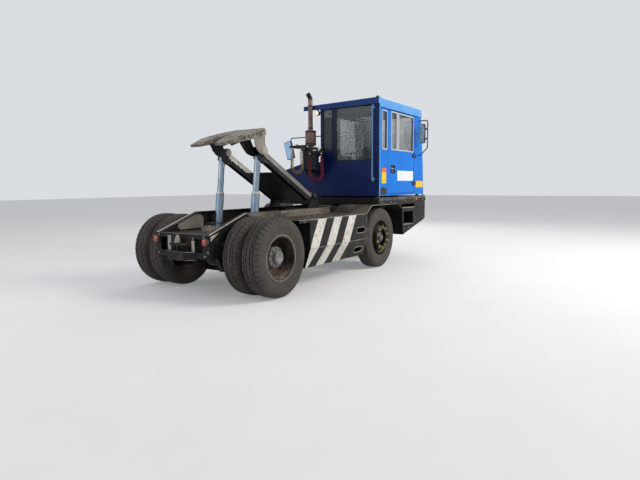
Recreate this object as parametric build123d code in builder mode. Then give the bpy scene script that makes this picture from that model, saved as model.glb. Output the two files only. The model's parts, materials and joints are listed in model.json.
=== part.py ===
from build123d import *

import os
from math import atan2, cos, degrees, hypot, pi, radians, sin

# A terminal tractor with a narrow cab on its right and a lifting fifth wheel, in millimetres.
# x is forward, y to the tractor's left, z up, and the origin is on the ground in the middle.
# Names that end in _ahead are distances forward of the rear axle.
# Names that end in _out are distances sideways from the centre line.

os.makedirs("parts", exist_ok=True)

# Wheels and axles
rear_axle_x = -2175
wheelbase = 3030
tyre_radius = 555
tyre_width = 285
tread_width = 226
shoulder_drop = 22
bead_width = 208
rim_radius = 297
rim_wall = 12
flange_height = 23
flange_wall = 10
outer_tyre_out = 1108
twin_spacing = 343
front_tyre_out = 1065
drum_radius = 205
drum_width = 190
hub_radius = 112
stud_count = 10
kingpin_out = 880
kingpin_radius = 25
beam_eye_radius = 46
beam_eye_height = 120
axle_tube_radius = 88
running_gap = 6

# Frame
rail_out = 540
rail_web = 12
rail_flange = 14
rail_flange_width = 75
rail_top = 1145
rail_bottom = 800
rail_rear_bottom = 700
tail_ahead = -655
tail_top = 886
tail_bottom = 560
tail_plate_wall = 25
tail_plate_out = 556
tail_slope_ahead = 70
nose_ahead = 5030
hanger_bottom = 360
jaw_reach = 110
member_low = 830
member_high = 1110

# Decks, side panels and guards
body_out = 1220
sheet = 8
deck_top = 1034
panel_bottom = 300
panel_fold = 600
panel_lean = 105
panel_rear_ahead = 690
panel_front_ahead = 2430
tank_front_ahead = 1960
tank_in = 620

# Base beams, cab and hood
base_bottom = 1170
base_top = 1300
base_width = 90
base_out = 1210
base_rear_ahead = 2900
base_front_ahead = 5140
cab_rear_ahead = 2930
cab_left_y = 80
cab_out = 1200
cab_wall = 40
mount_height = 30
floor_wall = 30
cab_height = 1705
roof_wall = 57
brow_height = 620
cab_foot_ahead = 5030
cab_brow_ahead = 4985
cab_top_ahead = 4830
door_rear_ahead = 3270
door_front_ahead = 4500
door_gap = 6
door_head = 105
glass_wall = 6
strip_left_y = 450
hood_left_y = 1200
hood_right_y = 120
hood_rear_ahead = 2990
hood_front_ahead = 5000
hood_wall = 10

# Boom, cylinders and fifth wheel
pivot_ahead = 1920
pivot_z = 1340
head_ahead = 600
head_z = 2060
arm_out = 375
arm_width = 100
arm_rise = 20
arm_drop = 120
arm_wall = 12
pivot_pin_radius = 35
head_pin_radius = 30
foot_pin_radius = 25
boss_radius = 70
eye_ahead = 530
eye_z = 1970
eye_radius = 42
eye_width = 60
foot_radius = 50
cylinder_foot_ahead = 340
cylinder_foot_z = 340
barrel_radius = 70
stage_radius = 62
rod_radius = 48
stage_top_z = 1437
barrel_top_z = 890
plate_tilt = 15
plate_height = 310
plate_skirt = 90
plate_wall = 28
plate_front = 265
ramp_start = -420
ramp_end = -690
ramp_drop = 40
ramp_wall = 36
king_pin_radius = 25.5
fit = 0.05
seat_gap = 0.3

front_axle_ahead = wheelbase
front_axle_x = rear_axle_x + front_axle_ahead
arm_angle = degrees(atan2(head_z - pivot_z, pivot_ahead - head_ahead))
arm_length = hypot(pivot_ahead - head_ahead, head_z - pivot_z)
inner_tyre_out = outer_tyre_out - twin_spacing
disc_out = (outer_tyre_out + inner_tyre_out) / 2
bead_seat = rim_radius + seat_gap
cab_bottom = base_top + mount_height
floor_top = cab_bottom + floor_wall
roof_bottom = cab_bottom + cab_height
roof_top = roof_bottom + roof_wall
brow_z = cab_bottom + brow_height
door_bottom = cab_bottom + 32
door_top = roof_bottom - door_head
roof_skirt_bottom = door_top + door_gap


def ahead(distance):
    # Turns a distance forward of the rear axle into x
    return rear_axle_x + distance


def side(y):
    # A sketch plane with x forward and z up; an extrusion from it goes to smaller y
    return Plane(origin=(0, y, 0), x_dir=(1, 0, 0), z_dir=(0, -1, 0))


def across(x):
    # A sketch plane with y and z; an extrusion from it goes forward
    return Plane(origin=(x, 0, 0), x_dir=(0, 1, 0), z_dir=(1, 0, 0))


def at_side(points):
    # Turns (ahead, z) pairs into sketch points
    return [(ahead(p[0]), p[1]) for p in points]


def box_corners(low_a, high_a, low_b, high_b):
    return [(low_a, low_b), (high_a, low_b), (high_a, high_b), (low_a, high_b)]


def save(part, label):
    part.label = label
    export_step(part, f"parts/{label}.step")


# Frame rails: channels open to the inside, with the sloped tail and a drop in front of it

rail_outline = at_side([
    (tail_ahead, tail_bottom),
    (tail_ahead, tail_top),
    (tail_slope_ahead, rail_top),
    (nose_ahead, rail_top),
    (nose_ahead, rail_bottom),
    (1250, rail_bottom),
    (950, rail_rear_bottom),
    (tail_ahead + 505, rail_rear_bottom),
    (tail_ahead + 415, hanger_bottom),
    (tail_ahead + 235, hanger_bottom),
    (tail_ahead + 135, tail_bottom),
])
with BuildPart() as frame_rails:
    with BuildSketch(side(-rail_out + rail_flange_width)):
        with BuildLine():
            Polyline(*rail_outline, close=True)
        make_face()
    extrude(amount=rail_flange_width)
    with BuildSketch(side(-rail_out + rail_flange_width)):
        with BuildLine():
            Polyline(*rail_outline, close=True)
        make_face()
        offset(amount=-rail_flange, kind=Kind.INTERSECTION, mode=Mode.REPLACE)
    extrude(amount=rail_flange_width - rail_web, mode=Mode.SUBTRACT)
    mirror(about=Plane.XZ)
save(frame_rails.part, "frame_rails")

# Cross members between the rail webs, each row: start ahead, length, bottom, top
rail_inside = rail_out - rail_web
engine_bottom = member_low + 80
member_rows = [
    (tail_ahead + 55, 90, tail_bottom + 40, tail_bottom + 200),
    (pivot_ahead + 230, 160, member_low, member_high),
    (front_axle_ahead + 160, 120, member_low, engine_bottom),
    (front_axle_ahead + 1150, 120, member_low, engine_bottom),
    (nose_ahead - 150, 100, member_low, member_high),
]
foot_member_length = 200
foot_member_low = cylinder_foot_z - 125
foot_member_high = cylinder_foot_z - 78
bracket_play = 1
foot_bracket_wall = 20
foot_bracket_outline = [
    (cylinder_foot_ahead - 70, foot_member_high),
    (cylinder_foot_ahead + 70, foot_member_high),
    (cylinder_foot_ahead + 45, cylinder_foot_z + 45),
    (cylinder_foot_ahead - 45, cylinder_foot_z + 45),
]
with BuildPart() as cross_members:
    for start, length, low, high in member_rows:
        with BuildSketch(Plane.XY.offset(low)):
            with Locations((ahead(start) + length / 2, 0)):
                Rectangle(length, 2 * rail_inside)
        extrude(amount=high - low)
    with BuildSketch(Plane.XY.offset(foot_member_low)):
        with Locations((ahead(cylinder_foot_ahead), 0)):
            Rectangle(foot_member_length, 2 * rail_inside)
    extrude(amount=foot_member_high - foot_member_low)
    for y in (rail_inside, -rail_inside + rail_web):
        with BuildSketch(side(y)):
            with Locations((ahead(cylinder_foot_ahead), (foot_member_low + rail_rear_bottom) / 2)):
                Rectangle(foot_member_length, rail_rear_bottom - foot_member_low)
        extrude(amount=rail_web)
    for y in (-arm_out, arm_out):
        fork_half = eye_width / 2 + bracket_play
        for low_y in (y - fork_half - foot_bracket_wall, y + fork_half):
            with BuildSketch(side(low_y + foot_bracket_wall)):
                with BuildLine():
                    Polyline(*at_side(foot_bracket_outline), close=True)
                make_face()
            extrude(amount=foot_bracket_wall)
        with BuildSketch(side(y + fork_half + foot_bracket_wall)):
            with Locations((ahead(cylinder_foot_ahead), cylinder_foot_z)):
                Circle(foot_pin_radius)
        extrude(amount=2 * (fork_half + foot_bracket_wall))
save(cross_members.part, "cross_members")

# Tail plate with two openings, the slot of the rear coupling and its two jaws
slot_half = 215
slot_low = tail_bottom + 90
slot_high = slot_low + 90
tail_rear_x = ahead(tail_ahead) - tail_plate_wall
tail_corner = 60
tail_opening_out = 350
tail_opening_z = tail_bottom + 175
tail_opening_width = 150
tail_opening_height = 190
upper_jaw_wall = 22
lower_jaw_wall = 115
# Each jaw: z low, wall, half width at the plate, half width at the tip
jaw_rows = [
    (slot_low - lower_jaw_wall, lower_jaw_wall, 270, 170),
    (slot_high, upper_jaw_wall, 200, 110),
]
coupling_pin_radius = 20
cone_radius = 48
cone_height = 120
pin_x = tail_rear_x - jaw_reach / 2
pin_low = slot_low - lower_jaw_wall - 12
pin_seat = slot_high + upper_jaw_wall
pin_top = pin_seat + cone_height
# Half of the drop pin's outline: radius, z
drop_pin_outline = [
    (0, pin_low), (coupling_pin_radius - 6, pin_low), (coupling_pin_radius, pin_low + 12),
    (coupling_pin_radius, pin_seat), (cone_radius, pin_seat), (cone_radius, pin_seat + 12),
    (8, pin_top), (0, pin_top),
]
with BuildPart() as tail_plate:
    with BuildSketch(across(tail_rear_x)):
        with BuildLine():
            Polyline((-tail_plate_out, tail_top), (tail_plate_out, tail_top),
                     (tail_plate_out, tail_bottom + tail_corner), (tail_plate_out - 110, tail_bottom),
                     (-tail_plate_out + 110, tail_bottom), (-tail_plate_out, tail_bottom + tail_corner),
                     close=True)
        make_face()
        for y in (-tail_opening_out, tail_opening_out):
            with Locations((y, tail_opening_z)):
                RectangleRounded(tail_opening_width, tail_opening_height, 18, mode=Mode.SUBTRACT)
        with Locations((0, (slot_low + slot_high) / 2)):
            RectangleRounded(2 * slot_half, slot_high - slot_low, 14, mode=Mode.SUBTRACT)
    extrude(amount=tail_plate_wall)
    for low, wall, root_half, tip_half in jaw_rows:
        with BuildSketch(Plane.XY.offset(low)):
            with BuildLine():
                Polyline((tail_rear_x, -root_half), (tail_rear_x - jaw_reach, -tip_half),
                         (tail_rear_x - jaw_reach, tip_half), (tail_rear_x, root_half), close=True)
            make_face()
            with Locations((pin_x, 0)):
                Circle(coupling_pin_radius + 0.5, mode=Mode.SUBTRACT)
        extrude(amount=wall)
    # Drop pin of the rear coupling, with its cone head resting on the upper jaw
    with BuildSketch(Plane(origin=(pin_x, 0, 0), x_dir=(1, 0, 0), z_dir=(0, -1, 0))):
        with BuildLine():
            Polyline(*drop_pin_outline, close=True)
        make_face()
    revolve(axis=Axis((pin_x, 0, 0), (0, 0, 1)))
save(tail_plate.part, "tail_plate")

# Round tail lamps with domed lenses, one near each end of the tail plate
lamp_radius = 58
lamp_base = 22
lamp_depth = 50
lamp_y = tail_plate_out - lamp_radius - 4
tail_lamp_z = tail_top - 90
# Half of a lamp's outline: radius, distance from the plate
lamp_outline = [
    (0, 0), (lamp_radius, 0), (lamp_radius, lamp_base), (lamp_radius - 12, lamp_base + 14),
    (lamp_radius - 32, lamp_depth - 3), (0, lamp_depth),
]
with BuildPart() as tail_lamps:
    for y in (-lamp_y, lamp_y):
        lamp_plane = Plane(origin=(tail_rear_x, y, tail_lamp_z), x_dir=(0, 0, 1), z_dir=(0, 1, 0))
        with BuildSketch(lamp_plane):
            with BuildLine():
                Polyline(*[(radius, -reach) for radius, reach in lamp_outline], close=True)
            make_face()
        revolve(axis=Axis((tail_rear_x, y, tail_lamp_z), (1, 0, 0)))
save(tail_lamps.part, "tail_lamps")

# Rear axle: tube, differential bowl, seats under the rails and the shaft to the gearbox
axle_seat_half = 95
rear_disc_wall = 14
drum_in = disc_out - rear_disc_wall - drum_width
pinion_reach = 330
joint_flange_radius = 75
joint_flange_length = 45
shaft_radius = 45
shaft_nest = 20
shaft_front_z = 660
gearbox_rear_ahead = pivot_ahead + 680
# Half of the differential bowl's outline: distance from the axle line, y
bowl_outline = [(0, -190), (120, -190), (205, -70), (205, 70), (120, 190), (0, 190)]
with BuildPart() as rear_axle:
    with BuildSketch(side(drum_in - seat_gap)):
        with Locations((rear_axle_x, tyre_radius)):
            Circle(axle_tube_radius)
    extrude(amount=2 * (drum_in - seat_gap))
    with BuildSketch(Plane(origin=(rear_axle_x, 0, tyre_radius), x_dir=(1, 0, 0), z_dir=(0, 0, 1))):
        with BuildLine():
            Polyline(*bowl_outline, close=True)
        make_face()
    revolve(axis=Axis((rear_axle_x, 0, tyre_radius), (0, 1, 0)))
    for y in (-rail_out, rail_out - rail_flange_width):
        with BuildSketch(Plane.XY.offset(tyre_radius)):
            with Locations((rear_axle_x, y + rail_flange_width / 2)):
                Rectangle(2 * axle_seat_half, rail_flange_width)
        extrude(amount=rail_rear_bottom - tyre_radius)
    with BuildSketch(Plane(origin=(rear_axle_x, 0, tyre_radius), x_dir=(0, 1, 0), z_dir=(1, 0, 0))):
        Circle(joint_flange_radius)
    extrude(amount=pinion_reach)
    with BuildLine() as shaft_line:
        Line((rear_axle_x + pinion_reach - shaft_nest, 0, tyre_radius),
             (ahead(gearbox_rear_ahead) - joint_flange_length + shaft_nest, 0, shaft_front_z))
    with BuildSketch(Plane(origin=shaft_line.line @ 0, z_dir=shaft_line.line % 0)):
        Circle(shaft_radius)
    sweep()
    with BuildSketch(across(ahead(gearbox_rear_ahead) - joint_flange_length)):
        with Locations((0, shaft_front_z)):
            Circle(joint_flange_radius)
    extrude(amount=joint_flange_length)
save(rear_axle.part, "rear_axle")


def tyre_section(out):
    # The tyre's cross-section as (radius, y) points round the centre at out
    half = tyre_width / 2
    bead = bead_width / 2
    tread = tread_width / 2
    shoulder = tyre_radius - shoulder_drop
    widest = tyre_radius - 125
    flange_top = rim_radius + flange_height
    outer_half = [
        (tyre_radius, out + tread), (shoulder, out + half - 16), (shoulder - 35, out + half - 6),
        (widest, out + half), (flange_top + 45, out + half - 14), (flange_top + 10, out + bead),
        (bead_seat, out + bead),
    ]
    return mirrored(reversed(outer_half), out) + outer_half


def barrel_section(out, disc, disc_wall, inner_radius):
    # A rim's cross-section from its disc face to the two flanges, as (radius, y) points
    # The barrel reaches both ways from out, and the disc's cone meets it on the side of disc
    low = out - bead_width / 2 - seat_gap
    high = out + bead_width / 2 + seat_gap
    tall = rim_radius + flange_height
    bore = rim_radius - rim_wall
    return [
        (tall, low - flange_wall), (tall, low), (rim_radius, low), (rim_radius, high), (tall, high),
        (tall, high + flange_wall), (bore, high + flange_wall), (bore, disc + disc_wall + 62),
        (bore - 75, disc + disc_wall), (inner_radius, disc + disc_wall), (inner_radius, disc),
        (bore - 70, disc), (bore, low - flange_wall),
    ]


def mirrored(points, middle):
    return [(p[0], 2 * middle - p[1]) for p in points]


# Rear wheels: a twin pair of tyres on back-to-back rims, with hub and drum
hub_face_out = disc_out + 148.5
hub_bevel = 25
stud_out = 28
stud_radius = 16
stud_length = 34
rear_wheel_plane = Plane(origin=(rear_axle_x, 0, tyre_radius), x_dir=(1, 0, 0), z_dir=(0, 0, 1))
rear_wheel_axis = Axis((rear_axle_x, 0, tyre_radius), (0, 1, 0))
for side_name, turn in (("right", 180), ("left", 0)):
    with BuildPart() as tyres:
        for out in (outer_tyre_out, inner_tyre_out):
            with BuildSketch(rear_wheel_plane):
                with BuildLine():
                    Polyline(*tyre_section(out), close=True)
                make_face()
            revolve(axis=rear_wheel_axis)
    with BuildPart() as rims:
        outer_rim = barrel_section(outer_tyre_out, disc_out, rear_disc_wall, hub_radius - 20)
        for outline in (outer_rim, mirrored(outer_rim, disc_out)):
            with BuildSketch(rear_wheel_plane):
                with BuildLine():
                    Polyline(*outline, close=True)
                make_face()
            revolve(axis=rear_wheel_axis)
        with BuildSketch(rear_wheel_plane):
            with BuildLine():
                Polyline((0, drum_in), (drum_radius, drum_in), (drum_radius, disc_out - rear_disc_wall),
                         (hub_radius, disc_out - rear_disc_wall), (hub_radius, hub_face_out - hub_bevel),
                         (hub_radius - hub_bevel, hub_face_out), (0, hub_face_out), close=True)
            make_face()
        revolve(axis=rear_wheel_axis)
        with BuildSketch(Plane(origin=(rear_axle_x, disc_out, tyre_radius), x_dir=(1, 0, 0),
                               z_dir=(0, 1, 0))):
            with PolarLocations(hub_radius + stud_out, stud_count):
                RegularPolygon(stud_radius, 6)
        extrude(amount=rear_disc_wall + stud_length)
    if side_name == "left":
        save(tyres.part, "tyres_rear_left")
        save(rims.part, "rims_rear_left")
    else:
        with BuildPart() as tyres_right:
            mirror(tyres.part, about=Plane.XZ)
        save(tyres_right.part, "tyres_rear_right")
        with BuildPart() as rims_right:
            mirror(rims.part, about=Plane.XZ)
        save(rims_right.part, "rims_rear_right")

# Front wheels: single tyres, with the disc near the outer side
front_disc_out = front_tyre_out + 40
front_hub_face_out = front_disc_out + 87
front_drum_in = front_disc_out - 120
front_drum_radius = drum_radius - 20
front_plane = Plane(origin=(front_axle_x, 0, tyre_radius), x_dir=(1, 0, 0), z_dir=(0, 0, 1))
front_axis = Axis((front_axle_x, 0, tyre_radius), (0, 1, 0))
with BuildPart() as tyre_front:
    with BuildSketch(front_plane):
        with BuildLine():
            Polyline(*tyre_section(front_tyre_out), close=True)
        make_face()
    revolve(axis=front_axis)
front_low = front_tyre_out - bead_width / 2 - seat_gap
front_high = front_tyre_out + bead_width / 2 + seat_gap
front_tall = rim_radius + flange_height
front_bore = rim_radius - rim_wall
# Half outlines of the front rim and of its hub with the drum: radius, y
front_rim_outline = [
    (front_tall, front_low - flange_wall), (front_tall, front_low), (rim_radius, front_low),
    (rim_radius, front_high), (front_tall, front_high), (front_tall, front_high + flange_wall),
    (front_bore, front_high + flange_wall), (front_bore, front_disc_out - 35),
    (front_bore - 75, front_disc_out + rim_wall), (hub_radius - 20, front_disc_out + rim_wall),
    (hub_radius - 20, front_disc_out), (front_bore - 80, front_disc_out),
    (front_bore, front_disc_out - 52), (front_bore, front_low - flange_wall),
]
front_hub_outline = [
    (0, front_drum_in), (front_drum_radius, front_drum_in), (front_drum_radius, front_disc_out),
    (hub_radius, front_disc_out), (hub_radius, front_hub_face_out - 40),
    (hub_radius - 30, front_hub_face_out), (0, front_hub_face_out),
]
with BuildPart() as rim_front:
    for outline in (front_rim_outline, front_hub_outline):
        with BuildSketch(front_plane):
            with BuildLine():
                Polyline(*outline, close=True)
            make_face()
        revolve(axis=front_axis)
    with BuildSketch(Plane(origin=(front_axle_x, front_disc_out, tyre_radius), x_dir=(1, 0, 0),
                           z_dir=(0, 1, 0))):
        with PolarLocations(hub_radius + stud_out, stud_count):
            RegularPolygon(stud_radius, 6)
    extrude(amount=rim_wall + stud_length)
for label, source in (("tyre_front", tyre_front.part), ("rim_front", rim_front.part)):
    with BuildPart() as left_wheel:
        add(source)
    save(left_wheel.part, f"{label}_left")
    with BuildPart() as right_wheel:
        mirror(source, about=Plane.XZ)
    save(right_wheel.part, f"{label}_right")

# Steering knuckles: a fork round the beam's eye, its king pin and the stub to the wheel
fork_gap = 3
fork_wall = 34
knuckle_high = tyre_radius + beam_eye_height / 2 + fork_gap
knuckle_low = tyre_radius - beam_eye_height / 2 - fork_gap
stub_radius = 42
stub_in = kingpin_out + beam_eye_radius + 8
with BuildPart() as knuckle:
    for low in (knuckle_high, knuckle_low - fork_wall):
        with BuildSketch(Plane.XY.offset(low)):
            with Locations((front_axle_x, kingpin_out)):
                Circle(beam_eye_radius)
            with Locations((front_axle_x, (kingpin_out + stub_in + 20) / 2)):
                Rectangle(2 * beam_eye_radius, stub_in + 20 - kingpin_out)
        extrude(amount=fork_wall)
    with BuildSketch(Plane.XY.offset(knuckle_low - fork_wall)):
        with Locations((front_axle_x, stub_in + 10)):
            Rectangle(2 * beam_eye_radius, 20)
    extrude(amount=knuckle_high - knuckle_low + 2 * fork_wall)
    with BuildSketch(Plane.XY.offset(knuckle_low - fork_wall)):
        with Locations((front_axle_x, kingpin_out)):
            Circle(kingpin_radius)
    extrude(amount=knuckle_high - knuckle_low + 2 * fork_wall)
    with BuildSketch(side(front_drum_in - seat_gap)):
        with Locations((front_axle_x, tyre_radius)):
            Circle(stub_radius)
    extrude(amount=front_drum_in - seat_gap - stub_in - 5)
save(knuckle.part, "knuckle_left")
with BuildPart() as knuckle_right:
    mirror(knuckle.part, about=Plane.XZ)
save(knuckle_right.part, "knuckle_right")

# Front axle beam with an eye at each end
beam_half_height = 45
beam_half_width = 50
beam_z = 520
with BuildPart() as front_axle:
    with BuildSketch(side(kingpin_out)):
        with Locations((front_axle_x, beam_z)):
            Rectangle(2 * beam_half_width, 2 * beam_half_height)
            with Locations((beam_half_width, 0), (-beam_half_width, 0)):
                Rectangle(60, 2 * beam_half_height - 44, mode=Mode.SUBTRACT)
    extrude(amount=2 * kingpin_out)
    for y in (-kingpin_out, kingpin_out):
        with BuildSketch(Plane.XY.offset(tyre_radius - beam_eye_height / 2 - 20)):
            with Locations((front_axle_x, y)):
                Circle(beam_eye_radius + 30)
        extrude(amount=beam_eye_height + 40, mode=Mode.SUBTRACT)
        with BuildSketch(Plane.XY.offset(tyre_radius - beam_eye_height / 2)):
            with Locations((front_axle_x, y)):
                Circle(beam_eye_radius)
            with Locations((front_axle_x, y * (1 - 45 / kingpin_out))):
                Rectangle(60, 90)
            with Locations((front_axle_x, y)):
                Circle(kingpin_radius + fit, mode=Mode.SUBTRACT)
        extrude(amount=beam_eye_height)
save(front_axle.part, "front_axle")

# Front leaf springs between the beam and the rails
spring_half_length = 560
leaf_count = 4
leaf_height = 12
spring_height = leaf_count * leaf_height
spring_width = 70
spring_seat_half = 150
leaf_step = 95
spring_out = rail_out - rail_flange_width / 2
beam_top = beam_z + beam_half_height
spring_eye_z = rail_bottom - 45
hanger_length = 70
hanger_height = 100
spring_slope = (spring_eye_z - beam_top - spring_height) / (spring_half_length - spring_seat_half)


def leaf_outline(row):
    # One leaf under the row-th from the top, each shorter than the one above it
    half = spring_half_length - row * leaf_step
    high = beam_top + spring_height - row * leaf_height
    rise = spring_slope * (half - spring_seat_half)
    upper = [(-half, high + rise), (-spring_seat_half, high), (spring_seat_half, high), (half, high + rise)]
    return upper + [(along, z - leaf_height) for along, z in reversed(upper)]


with BuildPart() as front_springs:
    with BuildSketch(side(-spring_out + spring_width / 2)):
        for row in range(leaf_count):
            with BuildLine():
                Polyline(*[(front_axle_x + along, z) for along, z in leaf_outline(row)], close=True)
            make_face()
        for end in (-spring_half_length, spring_half_length):
            with Locations((front_axle_x + end, rail_bottom - hanger_height / 2)):
                Rectangle(hanger_length, hanger_height)
    extrude(amount=spring_width)
    mirror(about=Plane.XZ)
save(front_springs.part, "front_springs")

# Walkway decks beside the rails with folded outer edges, going up into the front wheel guards
deck_rear_ahead = 430
deck_edge = 40
front_guard_line = [
    (panel_front_ahead, deck_top),
    (panel_front_ahead + 190, base_bottom),
    (front_axle_ahead + 630, base_bottom),
]
with BuildPart() as deck_plates:
    with BuildSketch(across(ahead(deck_rear_ahead))):
        with BuildLine():
            Polyline((-rail_out, deck_top), (-body_out, deck_top), (-body_out, deck_top - deck_edge),
                     (-body_out + sheet, deck_top - deck_edge), (-body_out + sheet, deck_top - sheet),
                     (-rail_out, deck_top - sheet), close=True)
        make_face()
    extrude(amount=panel_front_ahead - deck_rear_ahead)
    with BuildSketch(side(-rail_out)):
        with BuildLine():
            Polyline(*at_side(front_guard_line),
                     *at_side([(a, z - sheet) for a, z in reversed(front_guard_line)]), close=True)
        make_face()
    extrude(amount=body_out - rail_out)
    mirror(about=Plane.XZ)
save(deck_plates.part, "deck_plates")

# Side tanks with the folded panel in front of them
panel_top = deck_top - deck_edge
foot_hole_length = 300
foot_hole_height = 92
foot_hole_ahead = panel_front_ahead - 213
foot_hole_heights = (panel_fold + 162, panel_fold - 178)
with BuildPart() as side_panels:
    with BuildSketch(across(ahead(panel_rear_ahead))):
        with BuildLine():
            Polyline((-body_out, panel_top), (-body_out, panel_fold), (-body_out + panel_lean, panel_bottom),
                     (-body_out + panel_lean + sheet, panel_bottom), (-body_out + sheet, panel_fold),
                     (-body_out + sheet, panel_top), close=True)
        make_face()
    extrude(amount=panel_front_ahead - panel_rear_ahead)
    with BuildSketch(side(-tank_in)):
        for z in foot_hole_heights:
            with Locations((ahead(foot_hole_ahead), z)):
                SlotOverall(foot_hole_length, foot_hole_height)
    extrude(amount=body_out, mode=Mode.SUBTRACT)
    mirror(about=Plane.XZ)
save(side_panels.part, "side_panels")

tank_bracket_z = rail_bottom + 100
tank_bracket_length = 60
tank_bracket_height = 120
tank_bracket_ahead = (panel_rear_ahead + 600, tank_front_ahead - 80)
with BuildPart() as side_tanks:
    with BuildSketch(across(ahead(panel_rear_ahead))):
        with BuildLine():
            Polyline((-body_out + sheet, deck_top - sheet), (-body_out + sheet, panel_fold),
                     (-body_out + panel_lean + sheet, panel_bottom), (-tank_in, panel_bottom),
                     (-tank_in, deck_top - sheet), close=True)
        make_face()
    extrude(amount=tank_front_ahead - panel_rear_ahead)
    for start in tank_bracket_ahead:
        with BuildSketch(across(ahead(start))):
            with Locations((-(tank_in + rail_out) / 2, tank_bracket_z)):
                Rectangle(tank_in - rail_out, tank_bracket_height)
        extrude(amount=tank_bracket_length)
    mirror(about=Plane.XZ)
save(side_tanks.part, "side_tanks")

# Base frame under cab and hood: two long beams with rounded noses and three cross beams
base_middle_ahead = (base_rear_ahead + base_front_ahead) / 2 + 20
base_seat_ahead = (base_rear_ahead + 90, base_middle_ahead, base_front_ahead - 155)
base_cross_width = 90
base_nose_radius = 55
with BuildPart() as base_frame:
    for y in (-base_out + base_width, base_out):
        with BuildSketch(side(y)):
            with BuildLine():
                Polyline(*at_side(box_corners(base_rear_ahead, base_front_ahead, base_bottom, base_top)),
                         close=True)
            make_face()
            fillet(vertices().group_by(Axis.X)[-1], base_nose_radius)
        extrude(amount=base_width)
    for middle in base_seat_ahead:
        with BuildSketch(side(base_out - base_width)):
            with Locations((ahead(middle), (base_bottom + base_top) / 2)):
                Rectangle(base_cross_width, base_top - base_bottom)
        extrude(amount=2 * (base_out - base_width))
        for y in (-spring_out, spring_out):
            with BuildSketch(Plane.XY.offset(rail_top)):
                with Locations((ahead(middle), y)):
                    Rectangle(base_cross_width, rail_flange_width)
            extrude(amount=base_bottom - rail_top)
save(base_frame.part, "base_frame")

# Step boxes ahead of the front wheels, hollow and open at the side
step_rear_ahead = front_axle_ahead + 940
step_front_ahead = nose_ahead + 20
step_bottom = 530
step_front_bottom = 780
step_in = 760
step_wall = 10
step_outline = at_side([
    (step_rear_ahead - 270, base_bottom),
    (step_rear_ahead - 50, base_bottom - 120),
    (step_rear_ahead, step_bottom),
    (step_front_ahead, step_front_bottom),
    (step_front_ahead, base_bottom),
])
step_hollow_ahead = step_front_ahead - 480
upper_step_end = step_hollow_ahead - 40
lower_step_end = step_hollow_ahead - 105
step_openings = [
    [(step_rear_ahead - 35, base_bottom - 100), (step_rear_ahead - 165, base_bottom - 22),
     (upper_step_end, base_bottom - 22), (upper_step_end, base_bottom - 100)],
    [(step_rear_ahead + 20, step_bottom + 200), (step_rear_ahead + 20, base_bottom - 180),
     (lower_step_end, base_bottom - 180), (lower_step_end, step_bottom + 200)],
]
# The closed part ahead of the openings is hollow from the inside
step_hollow = [
    (step_hollow_ahead, step_bottom + 310), (step_hollow_ahead, base_bottom - 40),
    (step_front_ahead - 70, base_bottom - 40), (step_front_ahead - 70, step_front_bottom + 80),
]
with BuildPart() as step_boxes:
    with BuildSketch(side(-step_in)):
        with BuildLine():
            Polyline(*step_outline, close=True)
        make_face()
    extrude(amount=base_out - step_in)
    with BuildSketch(side(-step_in - step_wall)):
        for opening in step_openings:
            with BuildLine():
                Polyline(*at_side(opening), close=True)
            make_face()
    extrude(amount=base_out - step_in, mode=Mode.SUBTRACT)
    with BuildSketch(side(-step_in)):
        with BuildLine():
            Polyline(*at_side(step_hollow), close=True)
        make_face()
    extrude(amount=base_out - step_in - step_wall, mode=Mode.SUBTRACT)
    mirror(about=Plane.XZ)
save(step_boxes.part, "step_boxes")

# Front bumper across the noses of the rails, with a towing eye
bumper_low = 790
bumper_wall = 60
bumper_corner = 30
headlamp_out = 920
headlamp_z = 990
headlamp_width = 230
headlamp_height = 150
headlamp_corner = 20
with BuildPart() as front_bumper:
    with BuildSketch(across(ahead(step_front_ahead))):
        with Locations((0, (bumper_low + base_bottom) / 2)):
            RectangleRounded(2 * base_out, base_bottom - bumper_low, bumper_corner)
        for y in (-headlamp_out, headlamp_out):
            with Locations((y, headlamp_z)):
                RectangleRounded(headlamp_width, headlamp_height, headlamp_corner, mode=Mode.SUBTRACT)
    extrude(amount=bumper_wall)
    for y in (-spring_out, spring_out):
        with BuildSketch(across(ahead(nose_ahead))):
            with Locations((y, (rail_top + rail_bottom) / 2)):
                Rectangle(rail_flange_width, rail_top - rail_bottom)
        extrude(amount=step_front_ahead - nose_ahead)
save(front_bumper.part, "front_bumper")

with BuildPart() as headlamps:
    for y in (-headlamp_out, headlamp_out):
        with BuildSketch(across(ahead(step_front_ahead) + 8)):
            with Locations((y, headlamp_z)):
                RectangleRounded(headlamp_width, headlamp_height, headlamp_corner)
        extrude(amount=bumper_wall - 14)
save(headlamps.part, "headlamps")

# Cab floor on four rubber mounts
cab_front_edge = [(cab_foot_ahead, cab_bottom), (cab_brow_ahead, brow_z), (cab_top_ahead, roof_bottom)]
cab_inside_rear = cab_rear_ahead + cab_wall
cab_inside_front = cab_foot_ahead - cab_wall
floor_front = cab_inside_front - 4
cab_mid_y = (cab_left_y - cab_out) / 2
mount_radius = 38
mount_spots = [
    (ahead(x), y)
    for x in (base_seat_ahead[0] + 20, base_seat_ahead[2] - 40)
    for y in (-base_out + 120, cab_left_y - 140)
]
with BuildPart() as cab_floor:
    with BuildSketch(Plane.XY.offset(cab_bottom)):
        with Locations((ahead((cab_inside_rear + floor_front) / 2), cab_mid_y)):
            Rectangle(floor_front - cab_inside_rear, cab_out + cab_left_y - 2 * cab_wall)
    extrude(amount=floor_top - cab_bottom)
    with BuildSketch(Plane.XY.offset(base_top)):
        with Locations(*mount_spots):
            Circle(mount_radius)
    extrude(amount=mount_height)
save(cab_floor.part, "cab_floor")

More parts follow.
